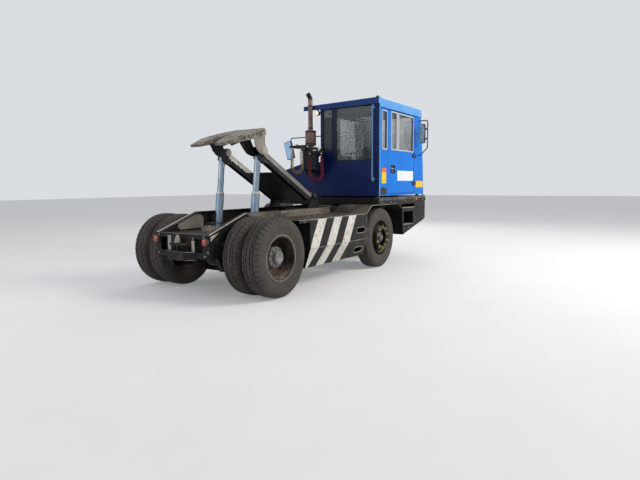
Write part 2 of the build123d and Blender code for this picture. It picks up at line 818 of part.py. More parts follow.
# Rear wall of the cab with its wide and its narrow window: y low, y high, z low, z high
window_head = 55
rear_windows = [
    (-cab_out + 140, cab_left_y - 350, brow_z + 50, roof_bottom - window_head),
    (cab_left_y - 260, cab_left_y - 50, brow_z + 250, roof_bottom - window_head),
]
with BuildPart() as cab_rear_wall:
    with BuildSketch(across(ahead(cab_rear_ahead))):
        with BuildLine():
            Polyline(*box_corners(-cab_out, cab_left_y, cab_bottom, roof_bottom), close=True)
        make_face()
        for low_y, high_y, low_z, high_z in rear_windows:
            with Locations(((low_y + high_y) / 2, (low_z + high_z) / 2)):
                RectangleRounded(high_y - low_y, high_z - low_z, 25, mode=Mode.SUBTRACT)
    extrude(amount=cab_wall)
save(cab_rear_wall.part, "cab_rear_wall")

side_wall_outline = at_side([(cab_inside_rear, cab_bottom), *cab_front_edge,
                             (cab_inside_rear, roof_bottom)])
# Windows as ahead low, ahead high, z low, z high
quarter_window = (cab_rear_ahead + 110, door_rear_ahead - 30, brow_z + 250, roof_bottom - 155)
left_window = (door_rear_ahead + 330, door_front_ahead + 60, brow_z + 100, roof_bottom - 135)
hinge_ahead = door_front_ahead + door_gap / 2
hinge_radius = 9
hinge_y = -cab_out - hinge_radius - 2
hinge_height = 40
hinge_rows = (door_bottom + 198, door_bottom + 758)
leaf_length = 70
leaf_wall = 8
with BuildPart() as cab_right_wall:
    with BuildSketch(side(-cab_out + cab_wall)):
        with BuildLine():
            Polyline(*side_wall_outline, close=True)
        make_face()
        with BuildLine():
            Polyline(*at_side(box_corners(door_rear_ahead - door_gap, door_front_ahead + door_gap,
                                          door_bottom - door_gap, roof_skirt_bottom)), close=True)
        make_face(mode=Mode.SUBTRACT)
        with Locations((ahead((quarter_window[0] + quarter_window[1]) / 2),
                        (quarter_window[2] + quarter_window[3]) / 2)):
            RectangleRounded(quarter_window[1] - quarter_window[0], quarter_window[3] - quarter_window[2],
                             20, mode=Mode.SUBTRACT)
    extrude(amount=cab_wall)
    for low in hinge_rows:
        with BuildSketch(Plane.XY.offset(low + hinge_height + seat_gap)):
            with Locations((ahead(hinge_ahead), hinge_y)):
                Circle(hinge_radius)
            with Locations((ahead(hinge_ahead) + leaf_length / 2, -cab_out - leaf_wall / 2)):
                Rectangle(leaf_length, leaf_wall)
        extrude(amount=hinge_height)
save(cab_right_wall.part, "cab_right_wall")

with BuildPart() as cab_left_wall:
    with BuildSketch(side(cab_left_y)):
        with BuildLine():
            Polyline(*side_wall_outline, close=True)
        make_face()
        with Locations((ahead((left_window[0] + left_window[1]) / 2), (left_window[2] + left_window[3]) / 2)):
            RectangleRounded(left_window[1] - left_window[0], left_window[3] - left_window[2],
                             30, mode=Mode.SUBTRACT)
    extrude(amount=cab_wall)
save(cab_left_wall.part, "cab_left_wall")

# Front wall: a steep lower panel and the raked windscreen frame
screen_edge = 45
screen_low = brow_z + 40
screen_high = roof_bottom - 60
screen_right_y = -cab_out + cab_wall + screen_edge
screen_left_y = cab_left_y - cab_wall - screen_edge
cab_front_inner = [(a - cab_wall, z) for a, z in cab_front_edge]
with BuildPart() as cab_front_wall:
    with BuildSketch(side(cab_left_y - cab_wall)):
        with BuildLine():
            Polyline(*at_side(cab_front_edge), *at_side(reversed(cab_front_inner)), close=True)
        make_face()
    extrude(amount=cab_out + cab_left_y - 2 * cab_wall)
    with BuildSketch(across(ahead(cab_top_ahead - 200))):
        with BuildLine():
            Polyline(*box_corners(screen_right_y, screen_left_y, screen_low, screen_high), close=True)
        make_face()
    extrude(amount=600, mode=Mode.SUBTRACT)
save(cab_front_wall.part, "cab_front_wall")


def front_line(z):
    # The front wall's outer face at height z, as a distance ahead
    share = (z - brow_z) / (roof_bottom - brow_z)
    return cab_brow_ahead + share * (cab_top_ahead - cab_brow_ahead)


# Glass of the cab, each pane in the middle of its wall
pane_inset = (cab_wall - glass_wall) / 2
with BuildPart() as cab_glass:
    with BuildSketch(across(ahead(cab_rear_ahead + pane_inset))):
        for low_y, high_y, low_z, high_z in rear_windows:
            with Locations(((low_y + high_y) / 2, (low_z + high_z) / 2)):
                RectangleRounded(high_y - low_y, high_z - low_z, 25)
    extrude(amount=glass_wall)
    with BuildSketch(side(-cab_out + cab_wall - pane_inset)):
        with Locations((ahead((quarter_window[0] + quarter_window[1]) / 2),
                        (quarter_window[2] + quarter_window[3]) / 2)):
            RectangleRounded(quarter_window[1] - quarter_window[0], quarter_window[3] - quarter_window[2], 20)
    extrude(amount=glass_wall)
    with BuildSketch(side(cab_left_y - pane_inset)):
        with Locations((ahead((left_window[0] + left_window[1]) / 2), (left_window[2] + left_window[3]) / 2)):
            RectangleRounded(left_window[1] - left_window[0], left_window[3] - left_window[2], 30)
    extrude(amount=glass_wall)
    with BuildSketch(side(screen_left_y)):
        with BuildLine():
            Polyline(*at_side([(front_line(screen_low) - pane_inset, screen_low),
                               (front_line(screen_high) - pane_inset, screen_high),
                               (front_line(screen_high) - pane_inset - glass_wall, screen_high),
                               (front_line(screen_low) - pane_inset - glass_wall, screen_low)]), close=True)
        make_face()
    extrude(amount=screen_left_y - screen_right_y)
save(cab_glass.part, "cab_glass")

# Roof with its side skirts and the strip along its rear edge, which runs on to the left
strip_depth = 40
strip_bottom = roof_bottom - 40
strip_top = roof_top + 12
strip_fall = 30
skirt_wall = 8
eave_reach = 25
eave_rake = 10
roof_outline = [
    (cab_rear_ahead, roof_bottom), (cab_top_ahead + eave_reach, roof_bottom),
    (cab_top_ahead - eave_rake, roof_top), (cab_rear_ahead, roof_top),
]
skirt_outline = [
    (cab_rear_ahead, roof_skirt_bottom), (front_line(roof_skirt_bottom), roof_skirt_bottom),
    (cab_top_ahead + eave_reach, roof_bottom), (cab_rear_ahead, roof_bottom),
]
with BuildPart() as cab_roof:
    with BuildSketch(side(cab_left_y + skirt_wall)):
        with BuildLine():
            Polyline(*at_side(roof_outline), close=True)
        make_face()
    extrude(amount=cab_out + cab_left_y + 2 * skirt_wall)
    for y in (cab_left_y + skirt_wall, -cab_out):
        with BuildSketch(side(y)):
            with BuildLine():
                Polyline(*at_side(skirt_outline), close=True)
            make_face()
        extrude(amount=skirt_wall)
    with BuildSketch(across(ahead(cab_rear_ahead - strip_depth))):
        with BuildLine():
            Polyline((-cab_out - skirt_wall, strip_bottom), (-cab_out - skirt_wall, strip_top),
                     (strip_left_y, strip_top - strip_fall), (strip_left_y, strip_bottom), close=True)
        make_face()
    extrude(amount=strip_depth)
save(cab_roof.part, "cab_roof")

# Right door with its window opening, handle recess and hinge leaves
door_window = (door_rear_ahead + 150, door_front_ahead - 60, brow_z + 260, door_top - 40)
handle_recess = (door_rear_ahead + 140, door_rear_ahead + 320, brow_z - 190, brow_z - 50)
recess_depth = 15
with BuildPart() as cab_door:
    with BuildSketch(side(-cab_out + cab_wall)):
        with BuildLine():
            Polyline(*at_side(box_corners(door_rear_ahead, door_front_ahead, door_bottom, door_top)),
                     close=True)
        make_face()
        with Locations((ahead((door_window[0] + door_window[1]) / 2), (door_window[2] + door_window[3]) / 2)):
            RectangleRounded(door_window[1] - door_window[0], door_window[3] - door_window[2],
                             25, mode=Mode.SUBTRACT)
    extrude(amount=cab_wall)
    with BuildSketch(side(-cab_out + recess_depth)):
        with BuildLine():
            Polyline(*at_side(box_corners(*handle_recess)), close=True)
        make_face()
    extrude(amount=recess_depth, mode=Mode.SUBTRACT)
    for low in hinge_rows:
        with BuildSketch(Plane.XY.offset(low)):
            with Locations((ahead(hinge_ahead), hinge_y)):
                Circle(hinge_radius)
            with Locations((ahead(hinge_ahead) - leaf_length / 2, -cab_out - leaf_wall / 2)):
                Rectangle(leaf_length, leaf_wall)
        extrude(amount=hinge_height)
save(cab_door.part, "cab_door")

with BuildPart() as door_glass:
    with BuildSketch(side(-cab_out + cab_wall - pane_inset)):
        with Locations((ahead((door_window[0] + door_window[1]) / 2), (door_window[2] + door_window[3]) / 2)):
            RectangleRounded(door_window[1] - door_window[0], door_window[3] - door_window[2], 25)
    extrude(amount=glass_wall)
save(door_glass.part, "door_glass")

# Seat: pedestal, cushion and back
seat_y = -600
seat_rear_ahead = cab_rear_ahead + 470
seat_depth = 480
seat_width = 460
pedestal_height = 520
cushion_thick = 120
back_height = 780
back_foot = 130
back_head = 80
back_edge = 30
cushion_low = floor_top + pedestal_height
cushion_high = cushion_low + cushion_thick
back_top = cushion_high + back_height
with BuildPart() as seat_pedestal:
    with BuildSketch(Plane.XY.offset(floor_top)):
        with Locations((ahead(seat_rear_ahead + seat_depth / 2), seat_y)):
            Rectangle(320, 300)
    extrude(amount=cushion_low - floor_top)
save(seat_pedestal.part, "seat_pedestal")
with BuildPart() as seat_cushion:
    with BuildSketch(Plane.XY.offset(cushion_low)):
        with Locations((ahead(seat_rear_ahead + seat_depth / 2), seat_y)):
            RectangleRounded(seat_depth, seat_width, 60)
    extrude(amount=cushion_high - cushion_low)
    fillet(edges().filter_by(GeomType.LINE, reverse=True).group_by(Axis.Z)[-1], 25)
save(seat_cushion.part, "seat_cushion")
back_rake = 90
with BuildPart() as seat_back:
    with BuildSketch(side(seat_y + seat_width / 2 - back_edge)):
        with BuildLine():
            Polyline(*at_side([(seat_rear_ahead + 10, cushion_high + seat_gap),
                               (seat_rear_ahead + back_foot, cushion_high + seat_gap),
                               (seat_rear_ahead - back_rake + back_head, back_top),
                               (seat_rear_ahead - back_rake, back_top)]), close=True)
        make_face()
    extrude(amount=seat_width - 2 * back_edge)
save(seat_back.part, "seat_back")

# Console beside the seat, dashboard under the windscreen, steering column and wheel
wheel_ahead = seat_rear_ahead + seat_depth + 450
wheel_z = floor_top + 730
wheel_rake = 35
wheel_rim_radius = 215
wheel_rim_inner = 187
spoke_width = 26
wheel_depth = 24
column_radius = 32
column_bracket = 60
dash_ahead = cab_inside_front - 430
console_width = 300
console_top = floor_top + 670
dash_top = floor_top + 600
# Side views of the console and of the dashboard: ahead, z
console_outline = [
    (cab_inside_rear + 150, floor_top), (dash_ahead, floor_top), (dash_ahead, floor_top + 540),
    (dash_ahead - 560, floor_top + 540), (dash_ahead - 660, console_top - 20),
    (cab_inside_rear + 150, console_top),
]
dash_outline = [
    (dash_ahead, floor_top), (dash_ahead + 340, floor_top), (dash_ahead + 340, dash_top - 60),
    (dash_ahead + 290, dash_top), (dash_ahead + 80, dash_top), (dash_ahead, dash_top - 90),
]
wheel_plane = Plane(origin=(ahead(wheel_ahead), seat_y, wheel_z), x_dir=(0, 1, 0),
                    z_dir=(-sin(radians(wheel_rake)), 0, cos(radians(wheel_rake))))
column_reach = 340
with BuildPart() as dashboard:
    with BuildSketch(side(cab_left_y - cab_wall)):
        with BuildLine():
            Polyline(*at_side(console_outline), close=True)
        make_face()
    extrude(amount=console_width)
    with BuildSketch(side(cab_left_y - cab_wall)):
        with BuildLine():
            Polyline(*at_side(dash_outline), close=True)
        make_face()
    extrude(amount=cab_out + cab_left_y - 2 * cab_wall)
    with BuildSketch(wheel_plane):
        Circle(wheel_rim_radius)
        Circle(wheel_rim_inner, mode=Mode.SUBTRACT)
        Rectangle(2 * wheel_rim_inner + 6, spoke_width)
        Rectangle(spoke_width, 2 * wheel_rim_inner + 6)
    extrude(amount=wheel_depth)
    with BuildSketch(wheel_plane):
        Circle(column_radius)
    extrude(amount=-column_reach)
    with BuildSketch(Plane.XY.offset(floor_top + 340)):
        with Locations((ahead(dash_ahead) - column_bracket / 2, seat_y)):
            Rectangle(column_bracket, column_bracket)
    extrude(amount=2 * column_bracket)
save(dashboard.part, "dashboard")

# Grab rail behind the rear wall
grab_y = -cab_out + 110
grab_radius = 16
grab_stand = 75
grab_bend = 32
grab_low = cab_bottom + 280
grab_high = roof_bottom - 70
wall_x = ahead(cab_rear_ahead)
with BuildPart() as grab_rail:
    with BuildLine() as grab_line:
        FilletPolyline((wall_x, grab_y, grab_low), (wall_x - grab_stand, grab_y, grab_low),
                       (wall_x - grab_stand, grab_y, grab_high), (wall_x, grab_y, grab_high),
                       radius=grab_bend)
    with BuildSketch(Plane(origin=grab_line.line @ 0, z_dir=grab_line.line % 0)):
        Circle(grab_radius)
    sweep()
save(grab_rail.part, "grab_rail")

# Mirrors on bent tube arms: the right one on the cab, the left one on the hood
arm_tube_radius = 11
mirror_wall = 45
mirror_corner = 30
arm_bend = 30
mirror_width = 130
left_mirror_width = 190
left_mirror_lean = 14
# Mirrors as ahead, y of the middle, z low, z high
right_mirror = (door_front_ahead + 50, -cab_out - 145, roof_bottom - 655, roof_bottom - 260)
left_mirror = (hood_rear_ahead + 480, hood_left_y + 76, cab_bottom + 770, cab_bottom + 1160)
right_arm_ahead = right_mirror[0] + 180
right_arm_out = cab_out + 200
right_arm_low = right_mirror[2] - 240
right_arm_high = right_mirror[3] + 85
stay_rows = (100, 300)
stay_height = 30
stay_low_y = -right_arm_out - 10
stay_high_y = right_mirror[1] + 5
with BuildPart() as mirror_right:
    with BuildSketch(across(ahead(right_mirror[0]))):
        with Locations((right_mirror[1], (right_mirror[2] + right_mirror[3]) / 2)):
            RectangleRounded(mirror_width, right_mirror[3] - right_mirror[2], mirror_corner)
    extrude(amount=mirror_wall)
    with BuildLine() as right_arm:
        FilletPolyline((ahead(right_arm_ahead), -cab_out, right_arm_high),
                       (ahead(right_arm_ahead), -right_arm_out, right_arm_high),
                       (ahead(right_arm_ahead), -right_arm_out, right_arm_low + 160),
                       (ahead(right_arm_ahead), -cab_out - 40, right_arm_low),
                       (ahead(right_arm_ahead), -cab_out, right_arm_low), radius=arm_bend)
    with BuildSketch(Plane(origin=right_arm.line @ 0, z_dir=right_arm.line % 0)):
        Circle(arm_tube_radius)
    sweep()
    for rise in stay_rows:
        with BuildSketch(across(ahead(right_mirror[0]) + mirror_wall / 2)):
            with Locations(((stay_low_y + stay_high_y) / 2, right_mirror[2] + rise)):
                Rectangle(stay_high_y - stay_low_y, stay_height)
        extrude(amount=right_arm_ahead - right_mirror[0] - mirror_wall / 2)
save(mirror_right.part, "mirror_right")
stem_ahead = left_mirror[0] + mirror_wall + 30
stem_low = left_mirror[2] - 350
stem_high = left_mirror[3] + 70
with BuildPart() as mirror_left:
    with BuildSketch(across(ahead(left_mirror[0]))):
        with Locations((left_mirror[1], (left_mirror[2] + left_mirror[3]) / 2)):
            RectangleRounded(left_mirror_width, left_mirror[3] - left_mirror[2], mirror_corner,
                             rotation=-left_mirror_lean)
    extrude(amount=mirror_wall)
    with BuildLine() as left_arm:
        FilletPolyline((ahead(stem_ahead), hood_left_y, stem_low),
                       (ahead(stem_ahead), hood_left_y + 60, stem_low),
                       (ahead(stem_ahead), left_mirror[1], stem_low + 130),
                       (ahead(stem_ahead), left_mirror[1], stem_high),
                       (ahead(stem_ahead), cab_left_y, stem_high), radius=arm_bend + 10)
    with BuildSketch(Plane(origin=left_arm.line @ 0, z_dir=left_arm.line % 0)):
        Circle(arm_tube_radius)
    sweep()
    for rise in stay_rows:
        with BuildSketch(across(ahead(left_mirror[0]) + mirror_wall / 2)):
            with Locations((left_mirror[1], left_mirror[2] + rise)):
                Rectangle(40, stay_height)
        extrude(amount=stem_ahead - left_mirror[0] - mirror_wall / 2)
save(mirror_left.part, "mirror_left")

# Engine as one plain block on two cross members, with its gearbox behind
engine_y = 40
engine_length = 1110
engine_width = 660
engine_height = 250
engine_rear_ahead = front_axle_ahead + 160
gearbox_half = 190
gearbox_outline = [
    (gearbox_rear_ahead, shaft_front_z - 100), (gearbox_rear_ahead + 300, shaft_front_z - 100),
    (engine_rear_ahead - 110, engine_bottom + 2), (engine_rear_ahead + 110, engine_bottom + 2),
    (engine_rear_ahead + 110, engine_bottom + 240), (engine_rear_ahead - 290, engine_bottom + 240),
    (gearbox_rear_ahead, shaft_front_z + 240),
]
with BuildPart() as engine_block:
    with BuildSketch(Plane.XY.offset(engine_bottom)):
        with Locations((ahead(engine_rear_ahead + engine_length / 2), engine_y)):
            Rectangle(engine_length, engine_width)
    extrude(amount=engine_height)
    with BuildSketch(side(gearbox_half)):
        with BuildLine():
            Polyline(*at_side(gearbox_outline), close=True)
        make_face()
    extrude(amount=2 * gearbox_half)
save(engine_block.part, "engine_block")

# Hood left of the cab: a shell with an open bottom and a sloped top
hood_crown_y = hood_right_y + 440
hood_height = 690
hood_crown_drop = 15
hood_left_drop = 185
grille_y = (hood_right_y + hood_left_y) / 2
grille_z = base_top + 260
grille_width = 820
grille_height = 380


def hood_section(wall):
    # The hood's section across, moved in by the wall: y, z
    right = hood_right_y + wall
    left = hood_left_y - wall
    top = base_top + hood_height - wall
    return [(right, base_top), (right, top), (hood_crown_y, top - hood_crown_drop),
            (left, top - hood_left_drop), (left, base_top)]


with BuildPart() as hood:
    with BuildSketch(across(ahead(hood_rear_ahead))):
        with BuildLine():
            Polyline(*hood_section(0), close=True)
        make_face()
    extrude(amount=hood_front_ahead - hood_rear_ahead)
    with BuildSketch(across(ahead(hood_rear_ahead + hood_wall))):
        with BuildLine():
            Polyline(*hood_section(hood_wall), close=True)
        make_face()
    extrude(amount=hood_front_ahead - hood_rear_ahead - 2 * hood_wall, mode=Mode.SUBTRACT)
    with BuildSketch(across(ahead(hood_front_ahead - 2 * hood_wall))):
        with Locations((grille_y, grille_z)):
            Rectangle(grille_width, grille_height)
    extrude(amount=3 * hood_wall, mode=Mode.SUBTRACT)
save(hood.part, "hood")

slat_count = 9
slat_height = 16
grille_post = 22
grille_edge = 20
grille_inside = grille_height - 2 * grille_edge
with BuildPart() as grille:
    with BuildSketch(across(ahead(hood_front_ahead - hood_wall))):
        with Locations((grille_y, grille_z)):
            Rectangle(grille_width, grille_height)
            Rectangle(grille_width - 2 * grille_edge - 10, grille_inside, mode=Mode.SUBTRACT)
            Rectangle(grille_post, grille_height)
            with GridLocations(0, grille_inside / slat_count, 1, slat_count):
                Rectangle(grille_width, slat_height)
    extrude(amount=hood_wall + 8)
save(grille.part, "grille")

# Exhaust: silencer, straight pipe and a bent tip, on a bracket from the hood
pipe_radius = 45
pipe_clear = 5
exhaust_ahead = cab_rear_ahead - strip_depth - pipe_clear - pipe_radius
exhaust_y = 255
exhaust_low = base_top + 400
silencer_radius = 105
silencer_low = exhaust_low + 590
silencer_length = 335
silencer_cone = 25
pipe_top = silencer_low + 840
tip_bend = 70
bracket_height = 60
exhaust_x = ahead(exhaust_ahead)
silencer_high = silencer_low + silencer_length
# Half of the exhaust's outline up to its bend: radius, z
exhaust_outline = [
    (0, exhaust_low), (pipe_radius, exhaust_low), (pipe_radius, silencer_low),
    (silencer_radius, silencer_low + silencer_cone), (silencer_radius, silencer_high - silencer_cone - 10),
    (pipe_radius, silencer_high), (pipe_radius, pipe_top), (0, pipe_top),
]
with BuildPart() as exhaust:
    with BuildSketch(Plane(origin=(exhaust_x, exhaust_y, 0), x_dir=(1, 0, 0), z_dir=(0, -1, 0))):
        with BuildLine():
            Polyline(*exhaust_outline, close=True)
        make_face()
    revolve(axis=Axis((exhaust_x, exhaust_y, 0), (0, 0, 1)))
    with BuildLine() as tip_line:
        FilletPolyline((exhaust_x, exhaust_y, pipe_top - 10), (exhaust_x, exhaust_y, pipe_top + 85),
                       (exhaust_x, exhaust_y + 55, pipe_top + 170), radius=tip_bend)
    with BuildSketch(Plane(origin=tip_line.line @ 0, z_dir=tip_line.line % 0)):
        Circle(pipe_radius)
    sweep()
    with BuildSketch(Plane.XY.offset(exhaust_low + bracket_height)):
        with Locations((ahead((exhaust_ahead + hood_rear_ahead) / 2), exhaust_y)):
            Rectangle(hood_rear_ahead - exhaust_ahead, 50)
    extrude(amount=bracket_height)
save(exhaust.part, "exhaust")

# Air cleaner with its lid and the pipe that carries it to the hood
cleaner_spacing = 185
cleaner_ahead = exhaust_ahead - cleaner_spacing
cleaner_y = exhaust_y - 125
cleaner_low = exhaust_low
cleaner_radius = 158
cleaner_neck_radius = 60
lid_low = silencer_low - 95
lid_radius = 168
outlet_radius = 45
outlet_z = cleaner_low + 200
snout_radius = 55
snout_bore = 47
snout_y = cleaner_y - 310
# Half of the air cleaner's outline: radius, z
cleaner_outline = [
    (0, cleaner_low), (cleaner_neck_radius, cleaner_low), (cleaner_neck_radius, cleaner_low + 80),
    (cleaner_radius, cleaner_low + 130), (cleaner_radius, lid_low), (lid_radius, lid_low),
    (lid_radius, lid_low + 40), (lid_radius - 40, lid_low + 67), (0, lid_low + 75),
]
with BuildPart() as air_cleaner:
    with BuildSketch(Plane(origin=(ahead(cleaner_ahead), cleaner_y, 0), x_dir=(1, 0, 0), z_dir=(0, -1, 0))):
        with BuildLine():
            Polyline(*cleaner_outline, close=True)
        make_face()
    revolve(axis=Axis((ahead(cleaner_ahead), cleaner_y, 0), (0, 0, 1)))
    with BuildSketch(across(ahead(cleaner_ahead))):
        with Locations((cleaner_y + 20, outlet_z)):
            Circle(outlet_radius)
    extrude(amount=hood_rear_ahead - cleaner_ahead)
    # The intake snout slants up to the right and is open at its end
    with BuildLine() as snout_line:
        Line((ahead(cleaner_ahead), cleaner_y, lid_low - 160), (ahead(cleaner_ahead), snout_y, lid_low + 10))
    with BuildSketch(Plane(origin=snout_line.line @ 0, z_dir=snout_line.line % 0)):
        Circle(snout_radius)
    sweep()
    with BuildSketch(Plane(origin=snout_line.line @ 1, z_dir=snout_line.line % 1)):
        Circle(snout_bore)
    extrude(amount=-snout_bore * 3, mode=Mode.SUBTRACT)
save(air_cleaner.part, "air_cleaner")

# Work lamp under the rear strip
lamp_y = cab_left_y + 42
lamp_z = strip_bottom - 70
work_lamp_radius = 46
work_lamp_depth = 62
with BuildPart() as work_lamp:
    with BuildSketch(across(ahead(cab_rear_ahead - strip_depth - 30))):
        with Locations((lamp_y, lamp_z)):
            Circle(work_lamp_radius)
    extrude(amount=work_lamp_depth)
    with BuildSketch(Plane.XY.offset(lamp_z)):
        with Locations((ahead(cab_rear_ahead - 20), lamp_y)):
            Rectangle(24, 30)
    extrude(amount=strip_bottom - lamp_z)
save(work_lamp.part, "work_lamp")

# Boom: two channel arms joined by a lower plate and a cross tube, with bosses at both ends
arm_dir = (-cos(radians(arm_angle)), 0, sin(radians(arm_angle)))


def arm_plane(y):
    # Along the arm from its pivot, and square to it; an extrusion from it goes to larger y
    origin = (ahead(pivot_ahead), y, pivot_z)
    return Plane(origin=origin, x_dir=arm_dir, z_dir=(0, 1, 0))


clevis_drop = 157
boss_tube_radius = 56
plate_start = 100
plate_end = arm_length - 455
cross_tube_radius = 45
# Side view of an arm: along from the pivot, square to it
arm_outline = [
    (-40, arm_rise), (arm_length + 40, arm_rise), (arm_length + 60, -40), (arm_length + 66, -arm_drop),
    (arm_length + 50, -clevis_drop), (arm_length - 70, -clevis_drop), (arm_length - 170, -arm_drop),
    (60, -arm_drop), (-40, -50),
]
with BuildPart() as boom:
    for middle in (-arm_out, arm_out):
        low_y = middle - arm_width / 2
        with BuildSketch(arm_plane(low_y)):
            with BuildLine():
                Polyline(*arm_outline, close=True)
            make_face()
            with Locations((0, 0), (arm_length, 0)):
                Circle(boss_radius)
        extrude(amount=arm_width)
        with BuildSketch(arm_plane(low_y + arm_wall)):
            with BuildLine():
                Polyline(*box_corners(boss_radius + 20, arm_length + 90, -clevis_drop - 40,
                                      arm_rise - arm_wall), close=True)
            make_face()
        extrude(amount=arm_width - 2 * arm_wall, mode=Mode.SUBTRACT)
        with BuildSketch(arm_plane(low_y)):
            with Locations((arm_length, 0)):
                Circle(boss_tube_radius)
        extrude(amount=arm_width)
    with BuildSketch(arm_plane(-arm_out + arm_width / 2)):
        with BuildLine():
            Polyline(*box_corners(plate_start, plate_end, -arm_drop, -arm_drop + arm_wall), close=True)
        make_face()
    extrude(amount=2 * arm_out - arm_width)
    with BuildSketch(arm_plane(-arm_out + arm_width / 2)):
        with Locations((plate_start + 60, -arm_drop + 60)):
            Circle(cross_tube_radius)
    extrude(amount=2 * arm_out - arm_width)
    for along, pin in ((0, pivot_pin_radius), (arm_length, head_pin_radius)):
        with BuildSketch(arm_plane(-rail_out)):
            with Locations((along, 0)):
                Circle(pin + fit)
        extrude(amount=2 * rail_out, mode=Mode.SUBTRACT)
save(boom.part, "boom")

# Brackets on the rails that hold the boom's pivot pin
bracket_wall = 24
bracket_in = arm_out + arm_width / 2 + running_gap
bracket_foot = 170
bracket_foot_wall = 16
pin_reach = 12
bracket_outline = [
    (pivot_ahead - bracket_foot, rail_top), (pivot_ahead - 55, pivot_z + 30),
    (pivot_ahead - 25, pivot_z + 62), (pivot_ahead + 25, pivot_z + 62),
    (pivot_ahead + 55, pivot_z + 30), (pivot_ahead + bracket_foot, rail_top),
]
with BuildPart() as pivot_brackets:
    for low_y in (-bracket_in - bracket_wall, bracket_in):
        with BuildSketch(side(low_y + bracket_wall)):
            with BuildLine():
                Polyline(*at_side(bracket_outline), close=True)
            make_face()
        extrude(amount=bracket_wall)
    for middle in (-(rail_out + bracket_in) / 2, (rail_out + bracket_in) / 2):
        with BuildSketch(Plane.XY.offset(rail_top)):
            with Locations((ahead(pivot_ahead), middle)):
                Rectangle(2 * bracket_foot + 40, rail_out - bracket_in)
        extrude(amount=bracket_foot_wall)
    with BuildSketch(side(bracket_in + bracket_wall + pin_reach)):
        with Locations((ahead(pivot_ahead), pivot_z)):
            Circle(pivot_pin_radius)
    extrude(amount=2 * (bracket_in + bracket_wall + pin_reach))
save(pivot_brackets.part, "pivot_brackets")

# Fifth wheel, drawn flat on its tilted plane
tilt = radians(plate_tilt)
head_point = (ahead(head_ahead), 0, head_z)
wheel_x_dir = (cos(tilt), 0, sin(tilt))
plate_plane = Plane(origin=head_point, x_dir=wheel_x_dir, z_dir=(-sin(tilt), 0, cos(tilt)))
throat_half = 27
plate_half = 462
plate_under = plate_height - plate_skirt
ramp_top = plate_height - ramp_drop
# Half of the plate seen from above: along, to the side
plate_outline_half = [
    (plate_front, 0), (plate_front, 300), (150, 420), (0, plate_half), (-200, plate_half), (-400, 400),
    (ramp_end, 350), (ramp_end, 150), (-210, 60), (-120, throat_half), (0, throat_half),
]
# The plate seen from its side, with ramps that bend down and thin out to their tips
plate_side_view = [
    (plate_front, plate_height), (ramp_start, plate_height), (ramp_end, ramp_top),
    (ramp_end, ramp_top - ramp_wall), (ramp_start + 20, plate_under), (plate_front, plate_under),
]
# Two deep ribs beside the throat
rib_in = 75
rib_wall = 26
rib_side_view = [(-330, plate_under), (-290, plate_under - 62), (40, plate_under - 36), (130, plate_under)]


def wheel_side(y):
    # The fifth wheel's side view at y, along and above its pivot; extrusions go to smaller y
    return Plane(origin=(ahead(head_ahead), y, head_z), x_dir=wheel_x_dir, z_dir=(0, -1, 0))


with BuildPart() as fifth_wheel_plate:
    with BuildSketch(plate_plane.offset(plate_height)):
        with BuildLine():
            Polyline(*plate_outline_half, *[(u, -w) for u, w in reversed(plate_outline_half[1:])],
                     close=True)
        make_face()
        Circle(king_pin_radius, mode=Mode.SUBTRACT)
    extrude(amount=-2 * plate_skirt)
    with BuildSketch(wheel_side(plate_half + 10)):
        with BuildLine():
            Polyline(*plate_side_view, close=True)
        make_face()
    extrude(amount=2 * plate_half + 20, mode=Mode.INTERSECT)
    with BuildSketch(plate_plane.offset(plate_under)):
        for w in (-195, 195):
            with Locations((100, w)):
                Rectangle(230, 150)
            with Locations((-240, w * 1.2)):
                Rectangle(260, 130)
    extrude(amount=plate_skirt - plate_wall, mode=Mode.SUBTRACT)
    for low_y in (rib_in, -rib_in - rib_wall):
        with BuildSketch(wheel_side(low_y + rib_wall)):
            with BuildLine():
                Polyline(*rib_side_view, close=True)
            make_face()
        extrude(amount=rib_wall)
save(fifth_wheel_plate.part, "fifth_wheel_plate")

leg_wall = 20
leg_in = arm_out - arm_width / 2 - running_gap - leg_wall
cheek_in = arm_out + arm_width / 2 + running_gap
# Side views of a leg and of an outer cheek: along and above the head pin
leg_outline = [
    (45, -54), (-140, -48), (-235, 10), (-295, 105), (-350, plate_under), (-115, plate_under),
    (-80, 85), (45, 54),
]
cheek_outline = [
    (-60, 35), (-48, 115), (-150, plate_under), (80, plate_under), (44, 115), (60, 35),
]
with BuildPart() as fifth_wheel_legs:
    for low_y in (leg_in, -leg_in - leg_wall):
        with BuildSketch(wheel_side(low_y + leg_wall)):
            Circle(boss_radius)
            with BuildLine():
                Polyline(*leg_outline, close=True)
            make_face()
        extrude(amount=leg_wall)
    for low_y in (cheek_in, -cheek_in - leg_wall):
        with BuildSketch(wheel_side(low_y + leg_wall)):
            Circle(boss_radius)
            with BuildLine():
                Polyline(*cheek_outline, close=True)
            make_face()
        extrude(amount=leg_wall)
    for low_y in (leg_in, -cheek_in - leg_wall):
        with BuildSketch(wheel_side(low_y + cheek_in + leg_wall - leg_in)):
            Circle(head_pin_radius)
        extrude(amount=cheek_in + leg_wall - leg_in)
save(fifth_wheel_legs.part, "fifth_wheel_legs")

